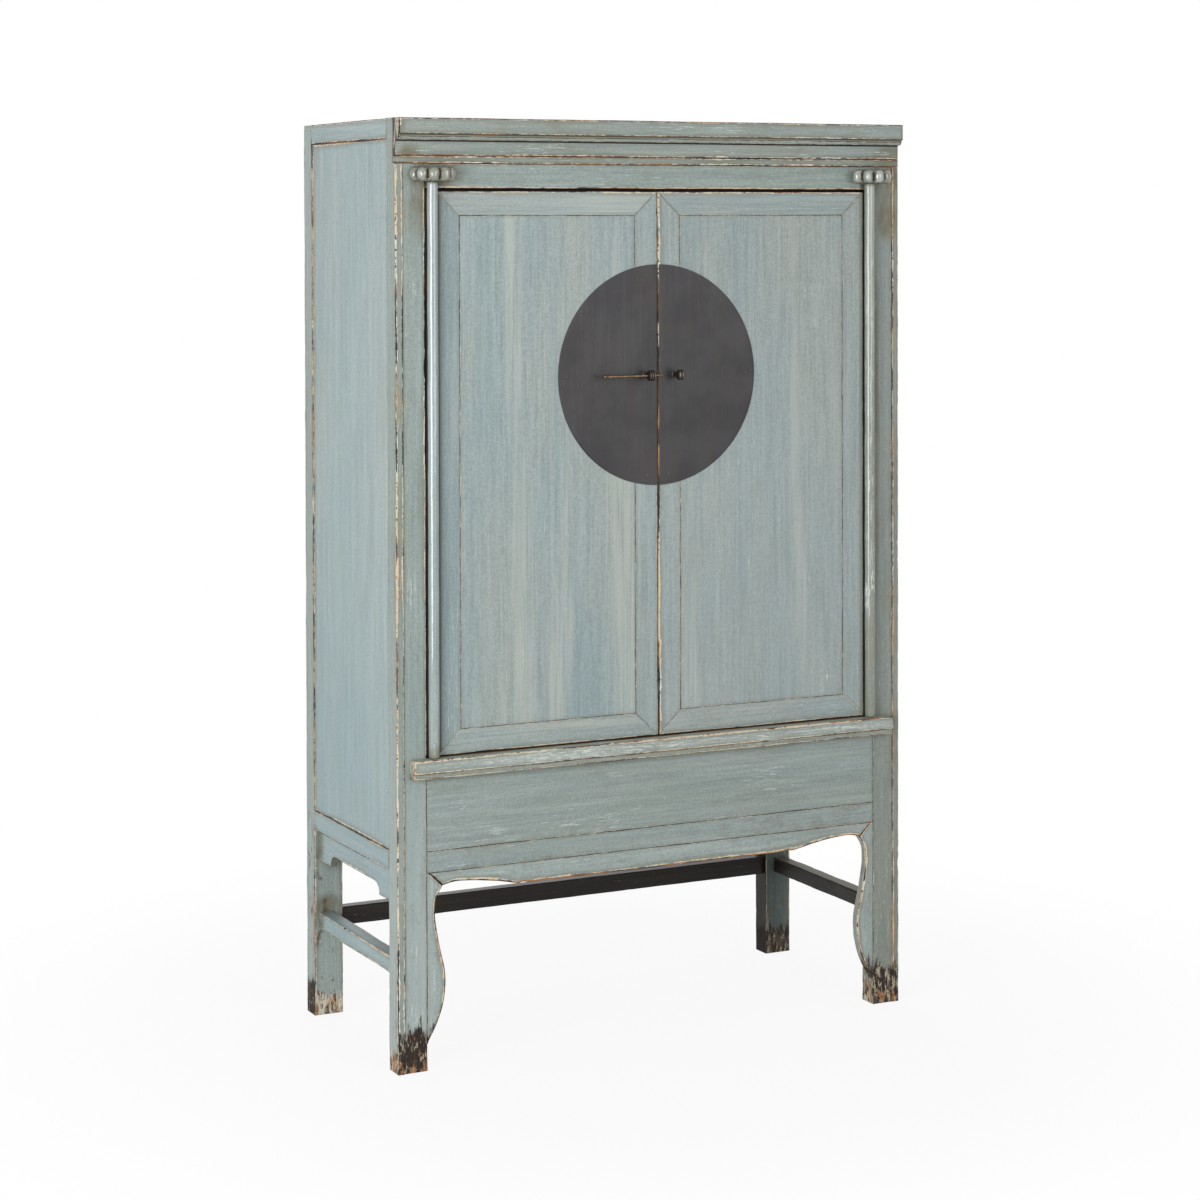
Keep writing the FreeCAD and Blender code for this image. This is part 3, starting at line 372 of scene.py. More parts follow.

# smudges and patches: darker olive places (dirt, and on the right post a painted shadow of the pole) and
# scratched places, each its X, Z, half width and half height in metres, with Y and half depth where it is
# off the front face.
# rubbed: how scratched those places are.
# low: a tone mixed in downwards, its share, and between which heights. bare: tone of the bare wood.
# most: limit of the dark line's wear. marks: depth of the brush marks. flecks: more pale specks on a foot.
# coat: share of lacquer.
paintDefaults = {"smudgesAndShadows": (), "patches": (), "rubbed": 1.1, "low": None, "bare": (176, 120, 74),
                 "most": 1.7, "marks": 0.6, "flecks": 0.0, "coat": 0.0}
paintMarks = {
    "posts": {"smudgesAndShadows": [(-0.489, 1.741, 0.075, 0.05), (-0.518, 1.67, 0.042, 0.08)],
              "patches": [(-0.535, 0.112, 0.034, 0.04), (-0.536, 0.24, 0.014, 0.045),
                          (-0.53, 1.52, 0.012, 0.05), (-0.54, 0.93, 0.02, 0.07)],
              # the posts' paler tone low down is painted light, as light thrown up from the floor
              "low": ((192, 203, 202), 0.3, 0.75, 0.2)},
    # its narrow smudge at x 0.511 is a painted shadow of the right pole on the post
    "rightPost": {"smudgesAndShadows": [(0.52, 1.741, 0.1, 0.06), (0.54, 1.66, 0.04, 0.07), (0.511, 1.2, 0.016, 0.7)],
                  "flecks": 0.05},
    "apron": {"patches": [(-0.493, 0.165, 0.012, 0.05)], "most": 2.6},
    "doors": {"patches": [(-0.30, 0.79, 0.004, 0.03), (0.21, 0.95, 0.005, 0.04)],
              "low": ((128, 148, 154), 0.1, 1.2, 0.65)},
    "hingeStile": {"patches": [(-0.46, 0.68, 0.012, 0.05)]},
    "rightDoor": {"patches": [(0.21, 0.95, 0.005, 0.04), (0.4, 0.7, 0.03, 0.008)],
                  "low": ((182, 190, 189), 0.12, 1.65, 1.1)},
    "meeting": {"bare": (214, 166, 112), "low": ((182, 190, 189), 0.1, 1.65, 1.1)},
    "sides": {"smudgesAndShadows": [(-0.565, 0.36, 0.05, 0.05, 0.225, 0.035), (-0.565, 0.2, 0.05, 0.03, 0.22, 0.03)],
              "low": ((122, 152, 160), 0.26, 1.2, 0.45)},
    "backLegs": {"smudgesAndShadows": [(-0.54, 0.225, 0.05, 0.035, 0.23, 0.03),
                             (-0.535, 0.34, 0.04, 0.05, 0.23, 0.03)]},
    "shadedLeg": {"flecks": 0.01},
    "skirt": {"patches": [(-0.368, 0.454, 0.05, 0.02), (-0.2, 0.452, 0.09, 0.014),
                          (-0.092, 0.54, 0.06, 0.01)]},
    "mouldings": {"smudgesAndShadows": [(0.55, 1.785, 0.06, 0.03), (-0.54, 1.785, 0.03, 0.02)],
                  "patches": [(0.53, 1.79, 0.05, 0.012), (-0.5, 1.79, 0.05, 0.01)]},
    "waist": {"patches": [(-0.15, 0.597, 0.6, 0.03, -0.245), (0.4, 0.597, 0.26, 0.02, -0.245)],
              "rubbed": 1.45},
    "poles": {"smudgesAndShadows": [(-0.4954, 0.61, 0.03, 0.035, -0.23, 0.1)], "marks": 0.15, "coat": 1.0},
    "rightPole": {"patches": [(0.4954, 1.2, 0.05, 0.8, -0.23)], "rubbed": 0.9, "marks": 0.4, "coat": 0.7},
    "beads": {"coat": 1.0},
}


def paintFinish(kind):
    finish, tree = newFinish(f"paint_{kind}")
    look = {**paintDefaults, **dict(zip(paintColumns, paintKinds[kind])), **paintMarks.get(kind, {})}
    node, calc, ramp, mix = (partial(tool, tree) for tool in (addNode, maths, between, mixed))
    grain, edges, ends = (node("Attribute", attribute_name=layer).outputs["Vector"]
                          for layer in ("grain", "edges", "ends"))
    edges, ends = (node("SeparateXYZ", {0: layer}).outputs for layer in (edges, ends))
    place = node("TexCoord").outputs["Object"]
    height = node("SeparateXYZ", {0: place}).outputs[2]
    times, larger = partial(calc, "MULTIPLY"), partial(calc, "MAXIMUM")
    timesPlus = partial(calc, "MULTIPLY_ADD")

    def fibres(along, across, offset=(0, 0, 0), detail=3, roughness=0.55, distortion=0.0):
        # Noise scaled apart along and across the grain
        scaled = stretched(tree, grain, (along, across, across), offset)
        return cloud(tree, scaled, 1.0, detail, roughness, distortion)

    def over(base, share, name):
        return mix(share, base, wearTones[name])

    def away(x, z, wide, tall, y=-0.22, deep=0.2):
        # Distance from a place, in units of the half lengths round it
        gap = node("VectorMath", {0: place, 1: (x, y, z)}, operation="SUBTRACT").outputs[0]
        gap = node("VectorMath", {0: gap, 1: (wide, deep, tall)}, operation="DIVIDE").outputs[0]
        return node("VectorMath", {0: gap}, operation="LENGTH").outputs["Value"]

    # brushed coats: broad tone, then strokes along the grain
    strokes = fibres(3.5, 110, detail=4, roughness=0.6)
    fine = fibres(12, 330, roughness=0.65)
    tone = mix(ramp(fibres(1.6, 7), 0.35, 0.68), paint255(*look["tone"]), paint255(*look["other"]))
    weave = cloud(tree, grain, 240, 3, 0.7)
    light = timesPlus(weave, 0.3, timesPlus(strokes, 0.2, times(fine, 0.2)))
    shades = [ramp(light, 0.25, 0.45, 1 - spread, 1 + spread) for spread in (0.21, 0.2, 0.18)]
    tone = mix(1.0, tone, node("CombineColor", dict(enumerate(shades))).outputs[0], "MULTIPLY")
    cool = fibres(1.1, 22, (3, 9, 5), 4)
    tone = over(tone, times(ramp(cool, 0.5, 0.72), 0.26), "cool")
    if look["low"]:
        lowTone, lowShare, lowFrom, lowTo = look["low"]
        tone = mix(ramp(height, lowFrom, lowTo, 0.0, lowShare), tone, paint255(*lowTone))

    # pale warm drips, streaky inside a soft outline, then olive blotches and darker olive places: dirt, and
    # beside the right pole a painted shadow
    drips = ramp(fibres(1.1, 13, (7, 3, 1)), 0.5, 0.68)
    streaks = ramp(fibres(3, 150, (1, 6, 1), 3, 0.65), 0.36, 0.62, 0.25, 1.0)
    tone = over(tone, times(times(drips, streaks), look["drips"] * 0.55), "drip")
    olive = fibres(6, 20, (1, 5, 2), 5, 0.7)
    tone = over(tone, times(ramp(olive, 0.5, 0.72), look["olive"] * 0.6), "olive")
    for spot in look["smudgesAndShadows"]:
        smudgedAndShaded = times(ramp(away(*spot), 1.0, 0.35), ramp(olive, 0.36, 0.58, 0.4, 1.0))
        tone = over(tone, times(smudgedAndShaded, 0.85), "smudgeAndShadow")

    # pale scratches: short broken strokes along the grain, mostly inside loose clusters
    clusters = ramp(fibres(4.5, 17, (4, 4, 8)), 0.52, 0.68)
    for spot in look["patches"]:
        clusters = larger(clusters, ramp(away(*spot), 1.0, 0.2, 0.0, look["rubbed"] / look["scuffs"]))
    nearEdge = ramp(edges[0], 0.009, 0.001, 0.0, 0.5)
    dense = times(larger(clusters, nearEdge), 0.13 * look["scuffs"])
    scuff = ramp(calc("ADD", fibres(20, 560, (2, 6, 4), 3, 0.6), dense), 0.66, 0.73)
    scuff = times(scuff, ramp(fibres(60, 260, (6, 2, 2), 3, 0.6), 0.4, 0.56))
    tone = over(tone, times(scuff, 0.75), "scuff")

    # worn edges: grime, then a thin cream line, and a brown line or brown ticks on the corner itself
    rag = fibres(60, 140, (5, 1, 3), 4, 0.7)
    rolling = ramp(fibres(5, 5, (8, 2, 6)), 0.38, 0.62, 0.6, 1.25)
    creamRag = times(rolling, ramp(rag, 0.34, 0.66, 0.55, 1.5))
    patchy = fibres(9, 9, (9, 9, 2), 3, 0.6)
    ticks = fibres(190, 90, (2, 7, 3), 2, 0.6)
    coreRag = larger(ramp(patchy, 0.46, 0.6, look["dark"], 1.2), ramp(ticks, 0.55, 0.62, 0.0, 0.9))
    coreRag = times(coreRag, ramp(rag, 0.66, 0.36, 0.6, 1.4))

    def worn(ragged, reach, blur, most=9.0):
        # reach and blur in millimetres; edges and ends hold a distance and how worn it is there
        layers = []
        for distance, strength, _ in (edges, ends):
            limit = times(times(calc("MINIMUM", strength, most), ragged), reach * look["wear"] * 0.001)
            layers.append(ramp(calc("SUBTRACT", distance, limit), blur * 0.001, -blur * 0.001))
        return larger(*layers)

    tone = over(tone, times(worn(rolling, 6.5, 5.5), 0.3 + 0.3 * look["olive"]), "grime")
    tint = fibres(6, 9, (3, 1, 7), 3, 0.6)
    cream = worn(creamRag, 2.0, 0.35)
    creamTone = mix(ramp(patchy, 0.46, 0.58), wearTones["cream"], wearTones["chalk"])
    creamTone = over(creamTone, times(ramp(tint, 0.42, 0.54), 0.8 * look["warm"]), "tan")
    tone = mix(times(cream, 0.95), tone, creamTone)
    core = worn(coreRag, 1.1, 0.25, look["most"])
    coreTone = mix(ramp(tint, 0.52, 0.44), wearTones["brown"], wearTones["darkWood"])
    coreTone = mix(times(ramp(tint, 0.52, 0.6), look["warm"]), coreTone, paint255(*look["bare"]))
    tone = mix(core, tone, coreTone)

    # closed joints: a thin broken dark line with pale flecks beside it
    def closed(low, high):
        return larger(*(times(ramp(strength, 0.62, 0.5), ramp(distance, high, low))
                        for distance, strength, _ in (edges, ends)))

    dashes = ramp(fibres(30, 30, (4, 8, 1), 4, 0.7), 0.36, 0.52, 0.2, 1.0)
    line = closed(0.0004, 0.001)
    tone = over(tone, times(line, dashes), "joint")
    flecks = times(calc("SUBTRACT", closed(0.0011, 0.0022), line, clamp=True), ramp(rag, 0.54, 0.64))
    tone = over(tone, times(flecks, 0.8), "cream")

    # feet: brown-black, scraped to bare wood low down; the lightly marked faces are mottled cream instead
    streaky = fibres(7, 120, (6, 3, 7), 4, 0.65)
    lumps = fibres(14, 28, (3, 3, 1), 4, 0.6)
    speckle = fibres(45, 170, (9, 2, 5), 4, 0.75)
    footTop = times(ends[2], timesPlus(streaky, 0.07, timesPlus(lumps, 0.11, -0.005)))
    footEdge = timesPlus(calc("SUBTRACT", speckle, 0.5), 0.055, calc("SUBTRACT", height, footTop))
    foot = times(ramp(footEdge, 0.010, -0.012), ramp(height, 0.14, 0.11))
    scraped = fibres(20, 60, detail=5, roughness=0.72, distortion=0.4)
    bare = ramp(calc("ADD", scraped, ramp(height, 0.045, 0.0, 0.0, 0.07)), 0.57, 0.66)
    bare = times(bare, ramp(ends[2], 0.88, 0.98))
    footTone = mix(bare, wearTones["soot"], wearTones["scraped"])
    pale = ramp(calc("ADD", speckle, look["flecks"]), 0.55, 0.64)
    footTone = over(footTone, times(larger(pale, scuff), 0.8), "paleFoot")
    mottled = mix(ramp(scraped, 0.44, 0.62), wearTones["mottle"], wearTones["brownMottle"])
    mottled = over(mottled, ramp(speckle, 0.49, 0.42), "footSpeck")
    footTone = mix(ramp(ends[2], 0.72, 0.6), footTone, mottled)
    tone = mix(foot, tone, footTone)

    # inner faces of legs and stretchers: dark stain with a few pale nicks, and brown spots on the outer
    # ones;
    # the same dark layer is painted shade under the cornice lip and the waist moulding, between the beads,
    # beside the left pole on its stile and on the shaded side of a pole
    stainTone = mix(ramp(strokes, 0.35, 0.65), wearTones["stain"], wearTones["paleStain"])
    stainTone = over(stainTone, times(ramp(speckle, 0.64, 0.7), 0.5), "nick")
    tone = over(tone, times(ramp(edges[2], 0.05, 0.5), ramp(strokes, 0.3, 0.6, 0.7, 1.0)), "shade")
    stained = ramp(edges[2], 0.45, 0.85)
    tone = mix(stained, tone, stainTone)
    spots = ramp(fibres(22, 40, (2, 2, 9), 4), 0.57, 0.66)
    spots = times(spots, times(ramp(height, 0.5, 0.36), ramp(edges[2], 0.5, 0.2)))
    tone = over(tone, times(spots, 0.75 * look["spots"]), "spot")

    relief = timesPlus(strokes, 0.45, timesPlus(fine, 0.35, times(larger(cream, scuff), -0.5)))
    dull = larger(larger(cream, foot), timesPlus(fine, 0.35, times(scuff, 0.5)))
    inputs = {"Base Color": tone, "Roughness": ramp(dull, 0.1, 1.0, look["gloss"], look["gloss"] + 0.3),
              "Specular IOR Level": 0.25}
    if look["coat"]:
        clean = ramp(larger(stained, scuff), 1.0, 0.0, 0.0, look["coat"])
        inputs.update({"Coat Weight": clean, "Coat Roughness": 0.1, "Coat IOR": 1.8})
    return closeFinish(finish, tree, inputs, look["marks"], 0.0006, relief)


def timberFinish(name, pale, dark, gloss=0.6):
    # Bare or stained wood: rings and pores stretched along the grain of Object coordinates
    finish, tree = newFinish(name)
    calc, ramp, mix = (partial(tool, tree) for tool in (maths, between, mixed))
    place = addNode(tree, "TexCoord").outputs["Object"]
    rings = cloud(tree, stretched(tree, place, (3, 30, 30)), 2.0, 5, 0.6, 0.6)
    pores = cloud(tree, stretched(tree, place, (20, 300, 300)), 2.0, 3, 0.6)
    tone = mix(ramp(rings, 0.3, 0.7), paint255(*pale), paint255(*dark))
    tone = mix(calc("MULTIPLY", ramp(pores, 0.55, 0.7), 0.4), tone, paint255(*dark))
    inputs = {"Base Color": tone, "Roughness": ramp(pores, 0.3, 0.7, gloss - 0.08, gloss + 0.15),
              "Specular IOR Level": 0.2}
    return closeFinish(finish, tree, inputs, 0.5, 0.0005, calc("ADD", rings, pores))


def metalFinish(name, tone, other, rust, gloss, metallic=0.75, streak=(220, 8)):
    # Old metal: fine upright strokes, cloudy patina and warm specks
    finish, tree = newFinish(name)
    calc, ramp, mix = (partial(tool, tree) for tool in (maths, between, mixed))
    place = addNode(tree, "TexCoord").outputs["Object"]
    strokes = cloud(tree, stretched(tree, place, (streak[0], *streak)), 1.0, 4, 0.65)
    patina = cloud(tree, place, 9.0, 5, 0.6)
    specks = cloud(tree, place, 260.0, 2, 0.5)
    colour = mix(ramp(patina, 0.35, 0.65), paint255(*tone), paint255(*other))
    colour = mix(calc("MULTIPLY", ramp(strokes, 0.45, 0.7), 0.5), colour, paint255(*rust))
    colour = mix(calc("MULTIPLY", ramp(specks, 0.7, 0.78), 0.35), colour, wearTones["warmSpeck"])
    inputs = {"Base Color": colour, "Metallic": metallic,
              "Roughness": ramp(strokes, 0.3, 0.7, gloss - 0.06, gloss + 0.1)}
    return closeFinish(finish, tree, inputs, 0.35, 0.0003, calc("ADD", strokes, patina))


finishes = {kind: paintFinish(kind) for kind in paintKinds}
finishes["innerWood"] = timberFinish("inner_wood", (150, 118, 84), (104, 76, 50))
finishes["darkWood"] = timberFinish("shade_dark_wood", (58, 50, 46), (38, 33, 31), 0.55)
finishes["plate"] = metalFinish("plate_metal", (66, 65, 66), (56, 55, 57), (74, 68, 64), 0.42)
finishes["lock"] = metalFinish("lock_metal", (92, 84, 79), (66, 60, 58), (104, 90, 76), 0.34, 0.9, (90, 90))
finishes["pin"] = metalFinish("pin_metal", (118, 94, 70), (84, 68, 52), (160, 136, 102), 0.24, 0.95,
                              (120, 120))
finishes["brass"] = metalFinish("brass_metal", (98, 86, 70), (80, 72, 62), (120, 104, 84), 0.4, 0.9,
                                (200, 200))
# The door stop gets the dark wood, a painted shade that makes the gap over the doors show black
for nodeName in ("waist_rail", "floor_board", "shelf", "side_cleats", "door_stop", "left_door_battens",
                 "right_door_battens", "bottom_board"):
    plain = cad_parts[nodeName].data.materials
    plain.clear()
    plain.append(finishes["darkWood" if nodeName == "door_stop" else "innerWood"])
print("finishes made:", len(finishes))

# Camera and light

camera = {"place": (-2.5918, -5.1730, 1.6451), "turn": 26.437, "dip": 0.887, "roll": -0.146, "lens": 83.208,
          "shiftY": -0.278}
turn, dip, roll = (math.radians(camera[key]) for key in ("turn", "dip", "roll"))
forward = Vector((math.sin(turn) * math.cos(dip), math.cos(turn) * math.cos(dip), -math.sin(dip)))
right = forward.cross(Vector((0, 0, 1))).normalized()
up = right.cross(forward)
axes = (right * math.cos(roll) + up * math.sin(roll), up * math.cos(roll) - right * math.sin(roll), -forward,
        camera["place"])
lens = bpy.data.cameras.new("camera")
lens.lens = camera["lens"]
lens.sensor_width = 36
lens.shift_y = camera["shiftY"]
lens.clip_end = 200
viewer = bpy.data.objects.new("camera", lens)
viewer.matrix_world = Matrix([[axis[row] for axis in axes] for row in range(3)] + [[0, 0, 0, 1]])
bpy.context.scene.collection.objects.link(viewer)
bpy.context.scene.camera = viewer

studio = {
    "sky": 0.4,
    "lamps": [
        # place, aim, width, height, watts
        ((-3.7, -2.5, 1.5), (0, -0.1, 0.9), 1.9, 2.6, 112),
        ((1.2, -5.0, 2.2), (0, -0.1, 0.8), 3.0, 3.0, 66),
        ((0.5, 3.6, 3.0), (0, 0, 1.0), 2.4, 2.4, 55),
    ],
    "floor": (235, 235, 235),
    "floorHalf": 30,
    "shadowShare": 0.1,
    "shadowFade": (0.7, 1.7),
}
white = (1, 1, 1, 1)


def seenRays(tree):
    # 1 for what the camera sees, also in a reflection or through glass
    rays = addNode(tree, "LightPath").outputs
    return maths(tree, "MAXIMUM", rays["Is Camera Ray"],
                 maths(tree, "MAXIMUM", rays["Is Glossy Ray"], rays["Is Transmission Ray"]))


def chosen(tree, share, first, second):
    return addNode(tree, "MixShader", {0: share, 1: first.outputs[0], 2: second.outputs[0]})


world = bpy.data.worlds.new("studio")
bpy.context.scene.world = world
world.use_nodes = True
sky = world.node_tree
sky.nodes.clear()
dome = addNode(sky, "Background", {"Color": white, "Strength": studio["sky"]})
backdrop = addNode(sky, "Background", {"Color": white, "Strength": 1.0})
addNode(sky, "OutputWorld", {"Surface": chosen(sky, seenRays(sky), dome, backdrop).outputs[0]})
for index, (spot, aim, wide, tall, watts) in enumerate(studio["lamps"]):
    lamp = bpy.data.lights.new(f"softbox_{index}", "AREA")
    lamp.shape = "RECTANGLE"
    lamp.size, lamp.size_y, lamp.energy = wide, tall, watts
    stand = bpy.data.objects.new(f"softbox_{index}", lamp)
    stand.location = spot
    stand.rotation_euler = (Vector(aim) - Vector(spot)).to_track_quat("-Z", "Y").to_euler()
    bpy.context.scene.collection.objects.link(stand)

half = studio["floorHalf"]
floorMesh = bpy.data.meshes.new("floor")
floorMesh.from_pydata([(x, y, 0) for x, y in rectangle(-half, half, -half, half)], [], [(0, 1, 2, 3)])
floor = bpy.data.objects.new("floor", floorMesh)
bpy.context.scene.collection.objects.link(floor)
floorFinish, ground = newFinish("studio_floor")
matt = addNode(ground, "BsdfDiffuse", {"Color": paint255(*studio["floor"])})
glow = addNode(ground, "Emission", {"Color": white, "Strength": 1.0})
place = addNode(ground, "TexCoord").outputs["Object"]
fromMiddle = addNode(ground, "VectorMath", {0: place}, operation="LENGTH").outputs["Value"]
shade = between(ground, fromMiddle, *studio["shadowFade"], studio["shadowShare"], 0.0)
lit = chosen(ground, seenRays(ground), matt, chosen(ground, shade, glow, matt))
addNode(ground, "OutputMaterial", {"Surface": lit.outputs[0]})
floorMesh.materials.append(floorFinish)
bpy.context.scene.view_settings.view_transform = "Standard"
print("camera, lamps and floor placed")

# Posts

posts = {"width": 62, "depth": 45, "border": 15, "relief": 2, "seat": 12.2, "top": 1762, "doorFoot": 609,
         "doorHead": 1714.5}


def frontPost(seed, outer=1.25, inner=1.05, besideDoor=1.1, innerFoot=0.66):
    width, depth, border, relief, seat, top, doorFoot, doorHead = posts.values()

    def section(places):
        # Above the border the front is cut back for the frieze
        low = [[0, 0], [border, 0], [border, relief], [width, relief], [width, depth], [0, depth]]
        high = [[0, seat], [border, seat], [border + 0.5, seat + 0.2], [width, seat + 0.2], [width, depth],
                [0, depth]]
        return np.where((places > top)[:, None, None], np.array(high, float), np.array(low, float))

    def beside(places):
        return (places > doorFoot) & (places < doorHead)

    def wear(places):
        # The inner edge is rubbed bare only beside the door
        level = np.tile([outer, inner, 0.4, 0.4, 0.7, 0.6], (len(places), 1))
        level[beside(places), 3] = besideDoor
        level[places > top, 0] = 0.4
        return level

    def stain(places):
        share = np.zeros((len(places), 6))
        share[:, 3] = beside(places)
        share[:, 4] = 0.8
        return share

    return board("z", section, 0, cabinet["height"], seed, softness=[1.6, 1.2, 0.6, 1.0, 1.2, 1.3],
                 wear=wear, stain=stain, endWear=(0.9, 0.8), foot=[1, 1, 1, innerFoot, innerFoot, 0.5],
                 knots=[top - 0.2, top + 0.2, doorFoot - 1, doorFoot + 1, doorHead - 1, doorHead + 1],
                 chipped=9, wavy=0.35)


piece("front_left_post_painted", [frontPost(3)], "posts", "cabinet", "front_left_post")
piece("front_right_post_painted", [mirrored(frontPost(5, 0.6, 1.1, 0.6, 0.61))], "rightPost", "cabinet",
      "front_right_post")
for name, finish, left, seed, wear, stain, foot in (
        ("back_left_post", "backLegs", 0, 7, [1.0, 0.7, 0.7, 0.9], [0, 1, 0, 0], [0.55, 0.8, 0.6, 0.82]),
        ("back_right_post", "shadedLeg", 1078, 9, [0.5, 0.8, 0.9, 0.7], [0, 0, 0, 1], [0.7, 0.74, 0.6, 0.74])):
    section = rectangle(left, left + posts["width"], cabinet["depth"] - posts["depth"], cabinet["depth"])
    member(name, finish, "z", section, 0, cabinet["height"], seed, softness=1.3, wear=wear, stain=stain,
           endWear=(0.9, 0.6), foot=foot, wavy=0.35)
print("posts made")

# Front frame and moulding

front = {"left": 62, "right": 1078, "face": 2, "headFoot": 1714.5, "blockFoot": 1727, "notchWidth": 25.2,
         "notchBack": 5.6, "notchShoulder": 1722, "mouldingLeft": 27,
         # front, back, foot and top of a plain section
         "lowerRail": (2, 45, 385, 427), "skirt": (2, 16, 427, 571), "topBorder": (0, 12, 1762, 1777.3),
         "topRail": (12, 45, 1810, 1850),
         "frieze": [(0, 1850), (0, 1806.6), (0, 1804.6), (0, 1777.5), (12, 1777.5), (12, 1850)],
         "cornice": [(0, 1807), (-10, 1807), (-13.2, 1810.2), (-15, 1814), (-15, 1815.6), (-15, 1817),
                     (-20, 1818.5), (-20, 1850), (0, 1850)],
         "moulding": [(2, 571), (-18, 571), (-18, 582), (-23, 583), (-23, 609), (2, 609)]}
left, right, width, height = front["left"], front["right"], cabinet["width"], cabinet["height"]
notches = (left + front["notchWidth"], right - front["notchWidth"])


def headSection(places):
    # Behind the poles the rail is cut back below the beaded blocks
    inNotch = (places < notches[0]) | (places > notches[1])
    face = np.where(inNotch, front["notchBack"], front["face"] + 0.02)
    shoulder = np.where(inNotch, front["blockFoot"] + 0.1, front["notchShoulder"])
    return outlines(places, (front["face"], posts["top"]), (front["face"], front["blockFoot"]),
                    (face, shoulder), (face, front["headFoot"]), (posts["depth"], front["headFoot"]),
                    (posts["depth"], posts["top"]))


member("head_rail", "posts", "x", headSection, left, right, 11, softness=[0.6, 0.1, 0.1, 1.4, 1, 1],
       wear=[0.3, 0, 0, 1.0, 0.5, 0.3], stain=[0, 0, 0, 1, 0, 0], endWear=(0.25, 0.25),
       knots=[edge + gap for edge in notches for gap in (-0.1, 0.1)])
member("lower_rail", "skirt", "x", rectangle(*front["lowerRail"], 3), left, right, 13, "lower_front_rail",
       softness=0.7, wear=[0.35, 0.3, 0.4, 0.2], endWear=(0.25, 0.25), stain=[0, 0.6, 0, 0])
member("skirt", "skirt", "x", rectangle(*front["skirt"], 3), left, right, 17, "skirt_panel", softness=0.7,
       wear=[0.2, 0.35, 0.2, 0.2])
member("top_border", "mouldings", "x", rectangle(*front["topBorder"], 3), 0, width, 19,
       softness=[0.8, 1.0, 0.5, 0.5], wear=[0.95, 1.2, 0.3, 0.3], endWear=(0.4, 0.4))
# The frieze strip between 1804.6 and 1806.6, just under the cornice lip, is darkened: a painted shadow
member("frieze", "mouldings", "x", front["frieze"], 0, width, 23, "frieze_board",
       softness=[0.6, 0.3, 0.3, 0.8, 0.5, 0.5], wear=[0.2, 0.2, 0, 1.0, 0.2, 0.2],
       stain=[0, 1, 0, 0, 0, 0], endWear=(0.35, 0.35))
# The cornice is darkened on the underside of its lip and of its fascia step: painted shade
member("cornice", "mouldings", "x", front["cornice"], 0, width, 29,
       softness=[0.4, 0.8, 0.7, 0.7, 0.1, 0.5, 1.3, 1.6, 0.5],
       wear=[0.2, 0.6, 0, 0.45, 0, 0, 0.85, 0.8, 0.2], stain=[1, 0, 0, 0, 0.45, 0.6, 0, 0, 0],
       endWear=(2.2, 0.65), chipped=5)
# The waist moulding is darkened on its undersides and a little on its lower bead: painted shade
member("moulding", "waist", "x", front["moulding"], front["mouldingLeft"], width - front["mouldingLeft"], 31,
       "waist_moulding", softness=[0.4, 3.2, 1.0, 1.6, 2.4, 0.4], wear=[0.2, 0.9, 0.45, 0.65, 0.95, 0.3],
       stain=[0.4, 0.2, 0.6, 0, 0, 0], endWear=(0.9, 0.9), chipped=3)
print("front frame made")

# Apron and leg wings

apron = {"front": 2, "back": 20, "railFoot": 385, "foot": 53, "reach": 39, "drop": 40.5, "mitreInset": 5,
         "wingShares": [(0.846, 0.919), (0.52, 0.85), (0.456, 0.771), (0.64, 0.6), (1.0, 0.38), (0.8, 0.195),
                        (0.338, 0.066), (0, 0)],
         "edgeShares": [(0.118, 0.543), (0.173, 0.568), (0.28, 0.741), (0.388, 1.0)], "seam": 0.15,
         "nick": {"at": 268, "half": 7, "depth": 2.4}, "least": 1.2}
wingKnots = np.array(apron["wingShares"])[::-1]
wingHeights = apron["foot"] + (apron["railFoot"] - apron["foot"]) * wingKnots[:, 1]
wingEdges = left + apron["reach"] * wingKnots[:, 0]
mitreX, mitreZ = wingEdges[-1], wingHeights[-1]
mitreTop = left + apron["mitreInset"]


def wing(seed):
    def section(places):
        outer = smoothThrough(wingHeights, wingEdges, np.minimum(places, mitreZ))
        share = np.clip((places - mitreZ) / (apron["railFoot"] - mitreZ), 0, 1)
        outer = np.where(places > mitreZ, mitreX + (mitreTop - mitreX) * share, outer)
        outer = np.maximum(outer - apron["seam"], left + apron["least"])
        return outlines(places, (left, apron["front"]), (outer, apron["front"]), (outer, apron["back"]),
                        (left, apron["back"]))

    return board("z", section, apron["foot"], apron["railFoot"], seed, softness=[0.5, 2.4, 1.2, 0.5],
                 wear=[0.3, 2.0, 1.3, 0.3], endWear=(1.0, 0.4), stain=[0, 0, 1, 0], foot=1, step=4, wavy=0.3,
                 knots=[mitreZ], endRound=0.4, chipped=2)


def apronSection(places):
    knots = np.array([(mitreX, mitreZ)] + [(left + (width / 2 - left) * across,
                                            apron["railFoot"] - apron["drop"] * drop)
                                           for across, drop in apron["edgeShares"]])
    across = np.minimum(places, width - places)
    low = smoothThrough(knots[:, 0], knots[:, 1], np.clip(across, mitreX, knots[-1, 0]))
    nick = apron["nick"]
    low = low + nick["depth"] * np.exp(-((across - nick["at"]) / nick["half"]) ** 2)
    onMitre = (across - mitreTop) / (mitreX - mitreTop)
    mitred = apron["railFoot"] - (apron["railFoot"] - mitreZ) * onMitre + apron["seam"]
    low = np.minimum(np.where(across < mitreX, mitred, low), apron["railFoot"] - apron["least"])
    return outlines(places, (apron["front"], apron["railFoot"]), (apron["front"], low), (apron["back"], low),
                    (apron["back"], apron["railFoot"]))


